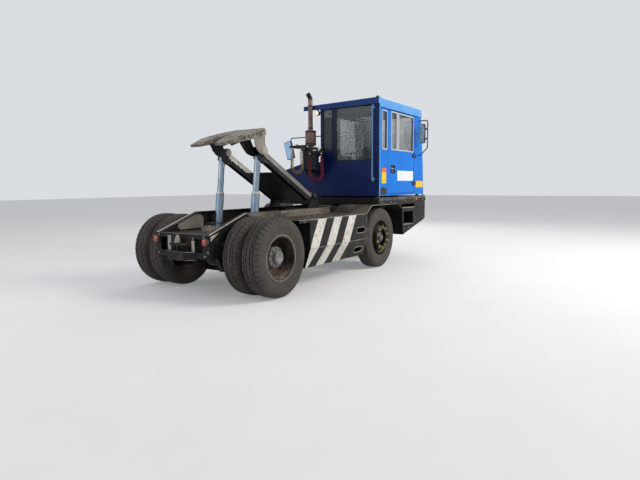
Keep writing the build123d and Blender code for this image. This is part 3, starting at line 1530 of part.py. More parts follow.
# Lift cylinders: barrel on the frame, hollow middle stage and rod, in line with the eye
reach_x = eye_ahead - cylinder_foot_ahead
reach_z = eye_z - cylinder_foot_z
cylinder_length = hypot(reach_x, reach_z)
cylinder_dir = (reach_x / cylinder_length, 0, reach_z / cylinder_length)
barrel_end = (barrel_top_z - cylinder_foot_z) / cylinder_dir[2]
stage_end = (stage_top_z - cylinder_foot_z) / cylinder_dir[2]
stage_nest = 60
rod_nest = 130
slip = 0.1
barrel_neck = 42
barrel_start = 75
bore_start = 85
rod_neck = 85
for name, y in (("right", -arm_out), ("left", arm_out)):
    foot_plane = Plane(origin=(ahead(cylinder_foot_ahead), y, cylinder_foot_z), x_dir=(0, 1, 0),
                       z_dir=cylinder_dir)
    eye_plane = Plane(origin=(ahead(eye_ahead), y, eye_z), x_dir=(0, 1, 0), z_dir=cylinder_dir)
    with BuildPart() as barrel:
        with BuildSketch(foot_plane.offset(barrel_start)):
            Circle(barrel_radius)
        extrude(amount=barrel_end - barrel_start)
        with BuildSketch(foot_plane.offset(barrel_neck)):
            Rectangle(eye_width, 2 * foot_radius)
        extrude(amount=barrel_start - barrel_neck)
        with BuildSketch(side(y + eye_width / 2)):
            with Locations((ahead(cylinder_foot_ahead), cylinder_foot_z)):
                Circle(foot_radius)
        extrude(amount=eye_width)
        with BuildSketch(side(y + eye_width)):
            with Locations((ahead(cylinder_foot_ahead), cylinder_foot_z)):
                Circle(foot_pin_radius + fit)
        extrude(amount=2 * eye_width, mode=Mode.SUBTRACT)
        with BuildSketch(foot_plane.offset(bore_start)):
            Circle(stage_radius + slip)
        extrude(amount=barrel_end, mode=Mode.SUBTRACT)
    save(barrel.part, f"lift_barrel_{name}")
    with BuildPart() as stage:
        with BuildSketch(foot_plane.offset(barrel_end - stage_nest)):
            Circle(stage_radius)
            Circle(rod_radius + slip, mode=Mode.SUBTRACT)
        extrude(amount=stage_end - barrel_end + stage_nest)
    save(stage.part, f"lift_stage_{name}")
    with BuildPart() as rod:
        with BuildSketch(foot_plane.offset(stage_end - rod_nest)):
            Circle(rod_radius)
        extrude(amount=cylinder_length - stage_end + rod_nest - rod_neck)
        with BuildSketch(eye_plane):
            Rectangle(eye_width, 2 * eye_radius)
        extrude(amount=-rod_neck)
        with BuildSketch(side(y + eye_width / 2)):
            with Locations((ahead(eye_ahead), eye_z)):
                Circle(eye_radius)
        extrude(amount=eye_width)
    save(rod.part, f"lift_rod_{name}")

# Curly air hoses, each a fat tube on the hose's outer coil, hung from one rack
rack_spacing = 205
rack_ahead = cleaner_ahead - rack_spacing
rack_low_z = 2150
rack_high_z = 2270
rack_half = 20
coil_radius = 30
# Points of each hose's route: x ahead, y, z
red_route = [
    (2450, 5, 2130), (2450, 5, 2080), (2444, 9, 2010), (2440, 14, 1922), (2442, 15, 1830), (2446, 10, 1742),
    (2449, -26, 1674), (2452, -90, 1636), (2449, -166, 1632), (2446, -231, 1669), (2443, -268, 1738),
    (2441, -273, 1826), (2442, -268, 1916), (2446, -259, 2004), (2450, -250, 2078), (2450, -250, 2130),
]
yellow_route = [
    (2450, 400, 2250), (2450, 400, 2195), (2444, 404, 2118), (2440, 411, 2030), (2442, 416, 1942),
    (2446, 412, 1862), (2449, 382, 1808), (2452, 331, 1778), (2449, 270, 1776), (2446, 217, 1807),
    (2443, 188, 1860), (2441, 184, 1940), (2442, 190, 2030), (2446, 199, 2120), (2450, 205, 2195),
    (2450, 205, 2250),
]


def route_radii(points):
    # The largest arc that the two runs at each inner point allow
    radii = []
    for back, here, forth in zip(points, points[1:], points[2:]):
        first = Vector(*here) - Vector(*back)
        second = Vector(*forth) - Vector(*here)
        half_turn = radians(first.get_angle(second)) / 2
        radii.append(0.45 * min(first.length, second.length) / (sin(half_turn) / cos(half_turn)))
    return radii


for label, route in (("hose_red", red_route), ("hose_yellow", yellow_route)):
    points = [(ahead(a), y, z) for a, y, z in route]
    radii = route_radii(points)
    print(label, "radii", [round(r) for r in radii])
    with BuildPart() as hose:
        with BuildLine() as hose_line:
            FilletPolyline(*points, radius=radii)
        with BuildSketch(Plane(origin=hose_line.line @ 0, z_dir=hose_line.line % 0)):
            Circle(coil_radius)
        sweep()
    route_length = hose_line.wires()[0].length
    print(label, "length", round(route_length), "volume", round(hose.part.volume),
          "section times length", round(pi * coil_radius**2 * route_length))
    save(hose.part, label)

# Rack that carries the hose ends: two bars, a link and an arm back to the hood's rear wall
rack_link_y = 90
rack_arm_y = 440
rack_wall = 30
rack_depth = 36
# Each bar of the rack: y low, y high, z
rack_bar_rows = [
    (-290, rack_link_y + rack_wall, rack_low_z),
    (rack_link_y, rack_arm_y + rack_wall, rack_high_z),
]
with BuildPart() as hose_rack:
    for low_y, high_y, z in rack_bar_rows:
        with BuildSketch(side(high_y)):
            with Locations((ahead(rack_ahead), z)):
                Rectangle(rack_depth, 2 * rack_half)
        extrude(amount=high_y - low_y)
    with BuildSketch(side(rack_link_y + rack_wall)):
        with Locations((ahead(rack_ahead), (rack_low_z + rack_high_z) / 2)):
            Rectangle(rack_depth, rack_high_z - rack_low_z)
    extrude(amount=rack_wall)
    with BuildSketch(side(rack_arm_y + rack_wall)):
        with BuildLine():
            Polyline(*at_side(box_corners(rack_ahead, hood_rear_ahead, rack_high_z - rack_half,
                                          rack_high_z + rack_half)), close=True)
        make_face()
    extrude(amount=rack_wall)
    with BuildSketch(side(rack_arm_y + rack_wall)):
        with BuildLine():
            Polyline(*at_side(box_corners(hood_rear_ahead - 20, hood_rear_ahead, exhaust_low,
                                          rack_high_z)), close=True)
        make_face()
    extrude(amount=rack_wall)
save(hose_rack.part, "hose_rack")
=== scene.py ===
import json
from math import cos, pi, radians, sin

import bmesh
import bpy
from mathutils import Matrix, Vector


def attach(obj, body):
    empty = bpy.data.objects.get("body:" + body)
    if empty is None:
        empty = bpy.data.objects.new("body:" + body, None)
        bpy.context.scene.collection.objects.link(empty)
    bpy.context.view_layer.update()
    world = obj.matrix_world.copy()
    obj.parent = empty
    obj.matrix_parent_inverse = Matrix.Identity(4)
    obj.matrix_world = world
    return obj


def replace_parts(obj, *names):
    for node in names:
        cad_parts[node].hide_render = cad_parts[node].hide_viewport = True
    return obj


# Looks of the terminal tractor, in metres in the CAD frame: x forward, y left, z up. Most places are given as
# (distance ahead of the rear axle, y, z).

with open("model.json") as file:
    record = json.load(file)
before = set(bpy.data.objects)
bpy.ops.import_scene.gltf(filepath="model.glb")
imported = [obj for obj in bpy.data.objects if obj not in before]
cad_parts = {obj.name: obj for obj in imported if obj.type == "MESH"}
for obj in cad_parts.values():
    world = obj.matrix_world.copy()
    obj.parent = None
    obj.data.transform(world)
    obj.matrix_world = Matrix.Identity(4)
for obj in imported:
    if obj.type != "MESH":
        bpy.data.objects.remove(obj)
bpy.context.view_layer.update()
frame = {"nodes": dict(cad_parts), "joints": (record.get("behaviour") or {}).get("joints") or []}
joints = {joint["name"]: joint for joint in frame["joints"]}
rear_axle_x = joints["rear_left_spin"]["pos_m"][0]
wheel_z = joints["rear_left_spin"]["pos_m"][2]
front_axle_x = joints["steer_left"]["pos_m"][0]
boom_pivot = Vector(joints["boom_lift"]["pos_m"])
boom_head = Vector(joints["fifth_wheel_tilt"]["pos_m"])
upward, forward, backward, rightward = (0, 0, 1), (1, 0, 0), (-1, 0, 0), (0, -1, 0)


def ahead(distance):
    # A distance forward of the rear axle as x
    return rear_axle_x + distance


def place(distance, y, z):
    return ahead(distance), y, z


# Shapes: each returns a list of corners and a list of faces


def block(low, high):
    corners = [(x, y, z) for x in (low[0], high[0]) for y in (low[1], high[1]) for z in (low[2], high[2])]
    faces = [(0, 1, 3, 2), (4, 6, 7, 5), (0, 4, 5, 1), (2, 3, 7, 6), (0, 2, 6, 4), (1, 5, 7, 3)]
    return corners, faces


axis_order = {"x": (2, 0, 1), "y": (0, 2, 1), "z": (0, 1, 2)}


def skin(rows, steps, closed=True):
    # Faces between each row of corners and the next; where the rows don't close, the ends are capped
    faces = []
    for row in range(rows if closed else rows - 1):
        below, above = row * steps, (row + 1) % rows * steps
        faces += [(below + i, below + (i + 1) % steps, above + (i + 1) % steps, above + i) for i in range(steps)]
    if not closed:
        faces += [tuple(reversed(range(steps))), tuple(range((rows - 1) * steps, rows * steps))]
    return faces


def slab(outline, axis, start, end):
    # An outline of (first, second) coordinates, pushed along the axis from start to end
    corners = [
        tuple((first, second, level)[i] for i in axis_order[axis]) for level in (start, end)
        for first, second in outline
    ]
    return corners, skin(2, len(outline), closed=False)


def plate(outline, start, end):
    # An outline of (distance ahead, z) between two y values
    return slab([(ahead(a), z) for a, z in outline], "y", start, end)


def bar(low, high):
    return block(place(*low), place(*high))


def loop_pipe(corners, radius, bend=0.03, sides=8):
    # A pipe round a closed outline with rounded corners
    corners = [Vector(c) for c in corners]
    start = (corners[0] + corners[-1]) / 2
    return pipe(rounded([start, *corners, start], bend)[:-1], radius, sides, closed=True)


def frame_of(direction):
    # Two vectors that are square to the direction and to each other
    along = Vector(direction).normalized()
    helper = Vector((0, 0, 1)) if abs(along.z) < 0.9 else Vector((1, 0, 0))
    first = along.cross(helper).normalized()
    return along, first, along.cross(first)


def turned(profile, centre, axis, steps=32, start=0.0, closed=False):
    # A profile of (radius, height) points turned round the axis through the centre
    along, first, second = frame_of(axis)
    corners = []
    for radius, height in profile:
        for i in range(steps):
            angle = start + 2 * pi * i / steps
            spoke = first * cos(angle) + second * sin(angle)
            corners.append(tuple(Vector(centre) + along * height + spoke * max(radius, 1e-05)))
    return corners, skin(len(profile), steps, closed)


def ring(profile, centre, axis, steps=48):
    return turned(profile, centre, axis, steps, closed=True)


def button(sizes, centre, axis, steps=32):
    # A round boss: radius and height of its side, radius and height of its top
    radius, side, top, height = sizes
    return turned([(radius, 0), (radius, side), (top, height), (0, height)], centre, axis, steps)


def nut(centre, axis, radius, height, start=0.0):
    # A hexagon head with a chamfered top on a thin washer
    washer = turned([(radius * 1.35, 0), (radius * 1.35, height * 0.15), (0, height * 0.15)], centre, axis, 16)
    head = turned(
        [(radius, height * 0.15), (radius, height * 0.85), (radius * 0.82, height), (0, height)], centre, axis, 6,
        start
    )
    return joined(washer, head)


def pipe(points, radius, sides=12, closed=False):
    # A round section carried along the points without twist
    points = [Vector(p) for p in points]
    count = len(points)
    corners = []
    spoke = None
    for i, point in enumerate(points):
        back = points[i - 1] if i or closed else point
        forth = points[(i + 1) % count] if i < count - 1 or closed else point
        along = (forth - back).normalized()
        if spoke is None:
            spoke = frame_of(along)[1]
        spoke = (spoke - along * spoke.dot(along)).normalized()
        other = along.cross(spoke)
        for k in range(sides):
            angle = 2 * pi * k / sides
            corners.append(tuple(point + (spoke * cos(angle) + other * sin(angle)) * radius))
    return corners, skin(count, sides, closed)


def rounded(points, radius, steps=5):
    # The points with each inner corner rounded by an arc-like curve
    points = [Vector(p) for p in points]
    line = [points[0]]
    for back, here, forth in zip(points, points[1:], points[2:]):
        reach = min(radius, (back - here).length * 0.45, (forth - here).length * 0.45)
        enter = here + (back - here).normalized() * reach
        leave = here + (forth - here).normalized() * reach
        for i in range(steps + 1):
            t = i / steps
            line.append(enter * (1 - t) ** 2 + here * 2 * t * (1 - t) + leave * t ** 2)
    return line + [points[-1]]


def bent(points, bend, radius, sides=8):
    # A pipe with rounded bends through the points
    return pipe(rounded(points, bend), radius, sides)


def joined(*shapes):
    corners, faces = [], []
    for more_corners, more_faces in shapes:
        faces += [tuple(len(corners) + i for i in face) for face in more_faces]
        corners += more_corners
    return corners, faces


def both_sides(*shapes):
    # The shapes, and their mirror image on the other side of the tractor
    corners, faces = joined(*shapes)
    return joined((corners, faces), ([(x, -y, z) for x, y, z in corners], [tuple(reversed(face)) for face in faces]))


def piece(name, shapes, material, body="chassis", bevel=0.0, smooth=40):
    # Makes one object of one shape or a list of them, with softened edges, and hands it to its body
    corners, faces = joined(*shapes) if isinstance(shapes, list) else shapes
    mesh = bpy.data.meshes.new(name)
    mesh.from_pydata(corners, [], faces)
    mesh.validate()
    work = bmesh.new()
    work.from_mesh(mesh)
    bmesh.ops.recalc_face_normals(work, faces=work.faces)
    if bevel:
        sharp = [e for e in work.edges if len(e.link_faces) == 2 and e.calc_face_angle(0) > radians(28)]
        bmesh.ops.bevel(work, geom=sharp, offset=bevel, segments=2, affect="EDGES", clamp_overlap=True)
    work.to_mesh(mesh)
    work.free()
    mesh.shade_smooth()
    mesh.set_sharp_from_angle(angle=radians(smooth))
    mesh.materials.append(materials[material])
    made = bpy.data.objects.new(name, mesh)
    bpy.context.scene.collection.objects.link(made)
    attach(made, body)
    return made


# Materials


class Shader:
    """Writes one procedural material's nodes, in object coordinates, which are the tractor's own."""

    def __init__(self):
        self.material = bpy.data.materials.new("material")
        self.material.use_nodes = True
        self.tree = self.material.node_tree
        self.shader = self.tree.nodes["Principled BSDF"]
        self.place = self.tree.nodes.new("ShaderNodeTexCoord").outputs["Object"]

    def feed(self, socket, value):
        if isinstance(value, bpy.types.NodeSocket):
            self.tree.links.new(value, socket)
        elif socket.type == "RGBA" and len(value) == 3:
            socket.default_value = (*value, 1)
        else:
            socket.default_value = value

    def add(self, kind, settings=None, **inputs):
        node = self.tree.nodes.new(kind)
        for key, value in (settings or {}).items():
            setattr(node, key, value)
        for key, value in inputs.items():
            self.feed(node.inputs[key.replace("_", " ")], value)
        return node

    def set(self, **inputs):
        for key, value in inputs.items():
            self.feed(self.shader.inputs[key.replace("_", " ")], value)

    def stretched(self, scale):
        return self.add("ShaderNodeMapping", Vector=self.place, Scale=scale).outputs[0]

    def noise(self, scale, detail=4.0, rough=0.55, place=None, distortion=0.0):
        return self.add(
            "ShaderNodeTexNoise", Vector=place or self.place, Scale=scale, Detail=detail, Roughness=rough,
            Distortion=distortion
        ).outputs["Fac"]

    def fit(self, value, low, high, to_low=0.0, to_high=1.0):
        node = self.add("ShaderNodeMapRange", {"interpolation_type": "SMOOTHSTEP"}, Value=value)
        for key, number in (("From Min", low), ("From Max", high), ("To Min", to_low), ("To Max", to_high)):
            node.inputs[key].default_value = number
        return node.outputs[0]

    def maths(self, operation, *values):
        node = self.add("ShaderNodeMath", {"operation": operation})
        for socket, value in zip(node.inputs, values):
            self.feed(socket, value)
        return node.outputs[0]

    def mix(self, share, first, second):
        node = self.add("ShaderNodeMix", {"data_type": "RGBA"})
        for index, value in ((0, share), (6, first), (7, second)):
            self.feed(node.inputs[index], value)
        return node.outputs[2]

    def axis(self, letter):
        return self.add("ShaderNodeSeparateXYZ", Vector=self.place).outputs[letter]

    def facing_up(self):
        normal = self.tree.nodes.new("ShaderNodeNewGeometry").outputs["Normal"]
        return self.add("ShaderNodeSeparateXYZ", Vector=normal).outputs["Z"]

    def bump(self, height, strength, distance):
        node = self.add("ShaderNodeBump", Strength=strength, Distance=distance, Height=height)
        self.set(Normal=node.outputs[0])


def painted(colour, rough=0.35, faded=None, dust=0.3, dust_colour=(0.30, 0.25, 0.19), rust=0.0,
            chips=0.0, streaks=0.0, metallic=0.0, scale=1.0, soot=None):
    # Paint that fades in patches, with dust on what faces up, rust spots, chips, running dirt and, above the
    # height soot, a black film
    s = Shader()
    patches = s.fit(s.noise(1.7 * scale, 5), 0.35, 0.7)
    base = s.mix(patches, colour, faded or tuple(min(1, c * 1.25 + 0.01) for c in colour))
    fine = s.noise(38 * scale, 6, 0.65)
    if streaks:
        runs = s.noise(3.2, 5, 0.7, s.stretched((5, 5, 0.35)))
        base = s.mix(s.fit(runs, 0.56, 0.72, 0, streaks), base, (0.1, 0.07, 0.045))
    if rust:
        spots = s.maths(
            "MULTIPLY", s.fit(s.noise(6 * scale, 8, 0.7), 0.62 - 0.2 * rust, 0.72 - 0.2 * rust),
            s.fit(fine, 0.42, 0.6)
        )
        base = s.mix(spots, base, s.mix(fine, (0.16, 0.055, 0.02), (0.34, 0.15, 0.06)))
    if chips:
        worn = s.fit(s.noise(14 * scale, 9, 0.75), 0.66 - 0.12 * chips, 0.68 - 0.12 * chips)
        base = s.mix(worn, base, (0.42, 0.36, 0.29))
    lying = s.maths("MULTIPLY", s.fit(s.facing_up(), 0.2, 0.95), s.fit(s.noise(3.1 * scale, 6, 0.6), 0.28, 0.62))
    film = s.maths(
        "ADD", s.maths("MULTIPLY", lying, dust * 2.2),
        s.maths("MULTIPLY", s.fit(s.noise(2.3 * scale, 7, 0.62), 0.4, 0.75), dust * 0.6)
    )
    base = s.mix(s.maths("MINIMUM", film, 1.0), base, dust_colour)
    if soot:
        base = s.mix(s.fit(s.axis("Z"), soot, soot + 0.08), base, (0.006, 0.006, 0.007))
    s.set(
        Base_Color=base, Metallic=metallic, Specular_IOR_Level=0.22,
        Roughness=s.fit(s.maths("ADD", film, s.maths("MULTIPLY", fine, 0.25)), 0, 1, rough, min(1, rough + 0.45))
    )
    s.bump(fine, 0.25, 0.004)
    return s.material


def bare_metal(colour, rough=0.3, grime=0.3, rust=0.0, scale=1.0, brushed=None):
    # Steel with a film of grime, rust in patches and, where asked, a brushed grain
    s = Shader()
    fine = s.noise(60 * scale, 7, 0.7, s.stretched(brushed) if brushed else None)
    wide = s.noise(4.5 * scale, 7, 0.6)
    base = s.mix(s.fit(fine, 0.3, 0.7), colour, tuple(c * 0.72 for c in colour))
    base = s.mix(s.fit(wide, 0.42, 0.72, 0, grime), base, (0.12, 0.095, 0.07))
    if rust:
        base = s.mix(
            s.fit(s.noise(7 * scale, 9, 0.7), 0.66 - 0.25 * rust, 0.8 - 0.25 * rust), base,
            s.mix(fine, (0.2, 0.075, 0.03), (0.36, 0.19, 0.1))
        )
    s.set(Base_Color=base, Metallic=1.0, Roughness=s.fit(wide, 0.3, 0.75, rough, min(1, rough + 0.4)))
    s.bump(fine, 0.2, 0.001)
    return s.material


def rubber(colour, dust, dust_colour=(0.21, 0.17, 0.135)):
    s = Shader()
    cloud = s.noise(5, 7, 0.62)
    grain = s.noise(120, 5, 0.7)
    base = s.mix(s.fit(cloud, 0.25, 0.75, dust * 0.25, dust), colour, dust_colour)
    base = s.mix(s.fit(grain, 0.5, 0.8, 0, 0.35), base, (0.012, 0.012, 0.012))
    s.set(Base_Color=base, Roughness=s.fit(cloud, 0.3, 0.7, 0.72, 0.92))
    s.bump(grain, 0.35, 0.0012)
    return s.material


def plastic(colour, rough=0.5, dust=0.15):
    s = Shader()
    cells = s.noise(260, 3, 0.5)
    cloud = s.noise(4, 6, 0.6)
    s.set(
        Base_Color=s.mix(s.fit(cloud, 0.35, 0.75, 0, dust), colour, (0.28, 0.25, 0.21)),
        Roughness=s.fit(cloud, 0.3, 0.7, rough, min(1, rough + 0.2))
    )
    s.bump(cells, 0.3, 0.0006)
    return s.material


def clear_glass():
    # Tinted glass under a film of dirt
    s = Shader()
    film = s.fit(s.noise(2.6, 7, 0.65), 0.35, 0.8, 0.02, 0.06)
    s.set(
        Base_Color=s.mix(film, (0.16, 0.18, 0.18), (0.4, 0.37, 0.31)), Roughness=s.fit(film, 0, 0.3, 0.03, 0.22),
        Transmission_Weight=0.45, IOR=1.45, Alpha=0.42
    )
    s.material.surface_render_method = "BLENDED"
    return s.material


def cloth(colour, scale=1.0):
    s = Shader()
    warp = s.add("ShaderNodeTexWave", {"bands_direction": "X"}, Vector=s.place, Scale=180 * scale, Distortion=1.5)
    weft = s.add("ShaderNodeTexWave", {"bands_direction": "Z"}, Vector=s.place, Scale=180 * scale, Distortion=1.5)
    weave = s.maths("MULTIPLY", warp.outputs["Fac"], weft.outputs["Fac"])
    cloud = s.noise(7, 6, 0.6)
    base = s.mix(weave, tuple(c * 0.55 for c in colour), colour)
    s.set(
        Base_Color=s.mix(s.fit(cloud, 0.4, 0.8, 0, 0.4), base, (0.16, 0.14, 0.12)), Roughness=0.92, Sheen_Weight=0.25
    )
    s.bump(weave, 0.4, 0.0008)
    return s.material


def lamp(colour, glow=0.0):
    # A lens with moulded ribs
    s = Shader()
    bands = s.add("ShaderNodeTexWave", {"bands_direction": "Z"}, Vector=s.place, Scale=160 / 6).outputs["Fac"]
    s.set(Base_Color=s.mix(bands, tuple(c * 0.7 for c in colour), colour), Roughness=0.18, Coat_Weight=0.6)
    if glow:
        s.set(Emission_Color=(*colour, 1), Emission_Strength=glow)
    s.bump(bands, 0.4, 0.002)
    return s.material


# The record's finish slots, and the materials of each
palette = {
    "blue": {
        "blue_paint": painted((0.0, 0.165, 0.66), 0.45, (0.002, 0.185, 0.72), dust=0.02, streaks=0.06),
        "deep_blue_paint": painted((0.0, 0.026, 0.16), 0.42, (0.002, 0.038, 0.21), dust=0.04, streaks=0.1),
        "post_paint": painted((0.002, 0.012, 0.045), 0.42, (0.004, 0.018, 0.06), dust=0.04),
        "grab_paint": painted((0.08, 0.19, 0.33), 0.4, (0.11, 0.24, 0.4), dust=0.06, chips=0.2),
    },
    "light_blue": {
        "light_blue_paint": painted((0.09, 0.31, 0.7), 0.45, (0.12, 0.36, 0.76), dust=0.04, streaks=0.1),
    },
    "navy": {
        "navy_paint": painted((0.0, 0.011, 0.095), 0.42, (0.001, 0.017, 0.125), dust=0.03, streaks=0.1),
        "cleaner_paint": painted((0.002, 0.012, 0.024), 0.4, (0.004, 0.02, 0.036), dust=0.08, streaks=0.2),
    },
    "black_paint": {
        "black_paint": painted((0.004, 0.004, 0.005), 0.45, (0.009, 0.009, 0.009), dust=0.06, rust=0.12, streaks=0.15,
            dust_colour=(0.2, 0.16, 0.12)),
        "panel_paint": painted((0.004, 0.004, 0.005), 0.42, (0.01, 0.01, 0.01), dust=0.05, rust=0.25, streaks=0.2,
            chips=0.12, dust_colour=(0.22, 0.17, 0.12)),
        "deck_paint": painted((0.01, 0.01, 0.01), 0.5, (0.03, 0.028, 0.027), dust=0.15, rust=0.25,
            dust_colour=(0.26, 0.22, 0.175)),
        "stripe_paint": painted((0.6, 0.58, 0.53), 0.5, (0.74, 0.72, 0.68), dust=0.05, rust=0.4, streaks=0.3,
            dust_colour=(0.4, 0.33, 0.25), scale=2),
        "cream_paint": painted((0.62, 0.59, 0.52), 0.5, (0.74, 0.71, 0.64), dust=0.12, rust=0.3, streaks=0.3,
            dust_colour=(0.42, 0.36, 0.28), scale=2),
        "white_plate": painted((0.66, 0.69, 0.71), 0.35, dust=0.04, streaks=0.08),
        "yellow_plate": painted((0.8, 0.52, 0.01), 0.35, dust=0.03),
        "orange_plate": painted((0.78, 0.12, 0.03), 0.35, dust=0.03),
    },
    "frame_paint": {
        "frame_paint": painted((0.006, 0.006, 0.007), 0.48, (0.014, 0.013, 0.013), dust=0.1, rust=0.22, streaks=0.2,
            dust_colour=(0.26, 0.21, 0.16)),
        "worn_edge_paint": painted((0.03, 0.031, 0.033), 0.45, (0.13, 0.13, 0.13), dust=0.2, rust=0.25, chips=0.5,
            streaks=0.4, dust_colour=(0.33, 0.3, 0.26), scale=2.5),
        "dark_steel": painted((0.014, 0.013, 0.014), 0.45, (0.034, 0.031, 0.03), dust=0.15, rust=0.3, scale=3,
            dust_colour=(0.28, 0.23, 0.18)),
        "engine_paint": painted((0.03, 0.032, 0.035), 0.55, dust=0.3, rust=0.3, scale=2),
        "snout_paint": painted((0.005, 0.024, 0.02), 0.5, (0.01, 0.036, 0.03), dust=0.12),
        "grease_film": painted((0.012, 0.01, 0.009), 0.25, (0.03, 0.025, 0.02), dust=0.1),
    },
    "worn_steel": {
        "rail_paint": painted((0.006, 0.006, 0.007), 0.5, (0.014, 0.013, 0.013), dust=0.1, rust=0.22, streaks=0.2,
            dust_colour=(0.3, 0.25, 0.19)),
        # Dust and painted sunlight, for the pale patch on the right rail's outer face
        "dusty_paint": painted((0.085, 0.072, 0.06), 0.6, (0.2, 0.175, 0.145), dust=0.4, rust=0.35, chips=0.3,
            streaks=0.3, dust_colour=(0.4, 0.34, 0.27)),
        "strip_paint": painted((0.17, 0.16, 0.14), 0.5, (0.28, 0.265, 0.235), dust=0.25, rust=0.2, chips=0.5,
            streaks=0.3, dust_colour=(0.38, 0.34, 0.29), scale=2.0),
        "boom_paint": painted((0.004, 0.005, 0.007), 0.42, (0.011, 0.011, 0.013), dust=0.06, rust=0.12, chips=0.2,
            streaks=0.15, dust_colour=(0.34, 0.29, 0.23), scale=1.6),
        "worn_cap": painted((0.26, 0.235, 0.2), 0.5, (0.44, 0.41, 0.36), dust=0.3, rust=0.25, chips=0.7, streaks=0.2,
            dust_colour=(0.5, 0.45, 0.38), scale=2.0),
        "peeling_cap": painted((0.48, 0.47, 0.44), 0.5, (0.66, 0.65, 0.62), dust=0.2, rust=0.55, chips=0.6,
            dust_colour=(0.55, 0.5, 0.42), scale=2.4),
        "plate_steel": painted((0.06, 0.05, 0.042), 0.42, (0.26, 0.235, 0.205), dust=0.17, rust=0.4, chips=0.8,
            streaks=0.6, metallic=0.3, dust_colour=(0.46, 0.42, 0.36), scale=2.2),
        "leg_paint": painted((0.004, 0.006, 0.012), 0.45, (0.009, 0.012, 0.02), dust=0.08, rust=0.15, chips=0.2,
            streaks=0.2, dust_colour=(0.42, 0.37, 0.3), scale=2),
        "worn_steel": bare_metal((0.4, 0.375, 0.34), 0.38, grime=0.5, rust=0.45, scale=2),
        "pale_steel": bare_metal((0.66, 0.63, 0.57), 0.45, grime=0.4, rust=0.3, scale=2),
    },
    "chrome": {
        "chrome_rod": bare_metal((0.32, 0.4, 0.48), 0.15, grime=0.1, brushed=(1, 1, 0.04)),
        "bright_steel": bare_metal((0.75, 0.75, 0.74), 0.2, grime=0.25),
        # Mirror tinted blue all over: a painted reflection of sky
        "mirror_glass": bare_metal((0.45, 0.66, 0.95), 0.05, grime=0.05),
    },
    "stage_steel": {
        "ground_steel": bare_metal((0.28, 0.36, 0.46), 0.28, grime=0.3, brushed=(1, 1, 0.04)),
    },
    "tyre": {
        "tyre_rubber": rubber((0.016, 0.015, 0.015), dust=0.46, dust_colour=(0.16, 0.13, 0.105)),
    },
    "rim": {
        "rim_paint": painted((0.016, 0.014, 0.013), 0.6, (0.045, 0.038, 0.032), dust=0.36, rust=0.4, chips=0.2,
            dust_colour=(0.34, 0.26, 0.19), scale=3),
        "hub_paint": painted((0.16, 0.165, 0.17), 0.42, (0.33, 0.33, 0.325), dust=0.22, rust=0.3, chips=0.4,
            metallic=0.3, dust_colour=(0.34, 0.28, 0.21), scale=3),
        "lip_paint": painted((0.2, 0.185, 0.165), 0.5, (0.32, 0.3, 0.27), dust=0.3, rust=0.4,
            dust_colour=(0.42, 0.35, 0.27), scale=3),
    },
    "glass": {
        "window_glass": clear_glass(),
    },
    "dark_plastic": {
        "black_plastic": plastic((0.008, 0.008, 0.009), 0.45),
        "grey_plastic": plastic((0.13, 0.135, 0.14), 0.6),
        "pale_plastic": plastic((0.42, 0.4, 0.36), 0.6, dust=0.25),
        "seal_rubber": rubber((0.008, 0.008, 0.008), dust=0.1),
        "pale_gasket": rubber((0.44, 0.47, 0.5), dust=0.25, dust_colour=(0.5, 0.49, 0.46)),
        "lime_plastic": plastic((0.36, 0.5, 0.03), 0.45),
    },
    "seat": {
        "seat_cloth": cloth((0.03, 0.031, 0.036)),
        "belt_web": cloth((0.02, 0.02, 0.022), scale=2.0),
        "headliner_felt": cloth((0.2, 0.18, 0.155)),
    },
    "lamp_red": {
        "red_lens": lamp((0.5, 0.045, 0.014)),
        "amber_lens": lamp((0.85, 0.27, 0.02)),
    },
    "lamp_clear": {
        "white_lens": lamp((0.74, 0.74, 0.7)),
        "glow_lens": lamp((0.92, 0.84, 0.56), glow=0.6),
    },
    "hose_red": {
        "red_hose": rubber((0.2, 0.005, 0.016), dust=0.1, dust_colour=(0.22, 0.08, 0.07)),
    },
    "hose_yellow": {
        "yellow_hose": rubber((0.34, 0.22, 0.04), dust=0.25, dust_colour=(0.32, 0.25, 0.14)),
    },
    "exhaust_steel": {
        "exhaust_steel": painted((0.16, 0.088, 0.075), 0.34, (0.3, 0.19, 0.17), dust=0.08, rust=0.35, metallic=0.25,
            streaks=0.5, scale=2, soot=3.14),
    },
}
materials, finish_slots = {}, {}
for slot, made in palette.items():
    for name, material in made.items():
        material.name = name
        materials[name] = material
        finish_slots[name] = slot

# The CAD nodes that each material is on
node_rows = (
    ("rail_paint", "frame_rails"),
    ("frame_paint", "cross_members tail_plate rear_axle knuckle_left knuckle_right front_axle front_springs "
     "pivot_brackets lift_barrel_left lift_barrel_right hose_rack"),
    ("red_lens", "tail_lamps"),
    ("tyre_rubber", "tyres_rear_left tyres_rear_right tyre_front_left tyre_front_right"),
    ("rim_paint", "rims_rear_left rims_rear_right rim_front_left rim_front_right"),
    ("deck_paint", "deck_plates"),
    ("panel_paint", "side_panels"),
    ("black_paint", "side_tanks base_frame step_boxes front_bumper cab_floor grille"),
    ("white_lens", "headlamps"),
    ("navy_paint", "cab_rear_wall cab_left_wall hood"),
    ("blue_paint", "cab_right_wall cab_front_wall cab_door"),
    ("window_glass", "cab_glass door_glass"),
    ("light_blue_paint", "cab_roof"),
    ("black_plastic", "seat_pedestal mirror_right mirror_left work_lamp"),
    ("seat_cloth", "seat_cushion seat_back"),
    ("grey_plastic", "dashboard"),
    ("grab_paint", "grab_rail"),
    ("engine_paint", "engine_block"),
    ("exhaust_steel", "exhaust"),
    ("cleaner_paint", "air_cleaner"),
    ("boom_paint", "boom"),
    ("plate_steel", "fifth_wheel_plate"),
    ("leg_paint", "fifth_wheel_legs"),
    ("ground_steel", "lift_stage_left lift_stage_right"),
    ("chrome_rod", "lift_rod_left lift_rod_right"),
    ("red_hose", "hose_red"),
    ("yellow_hose", "hose_yellow"),
)
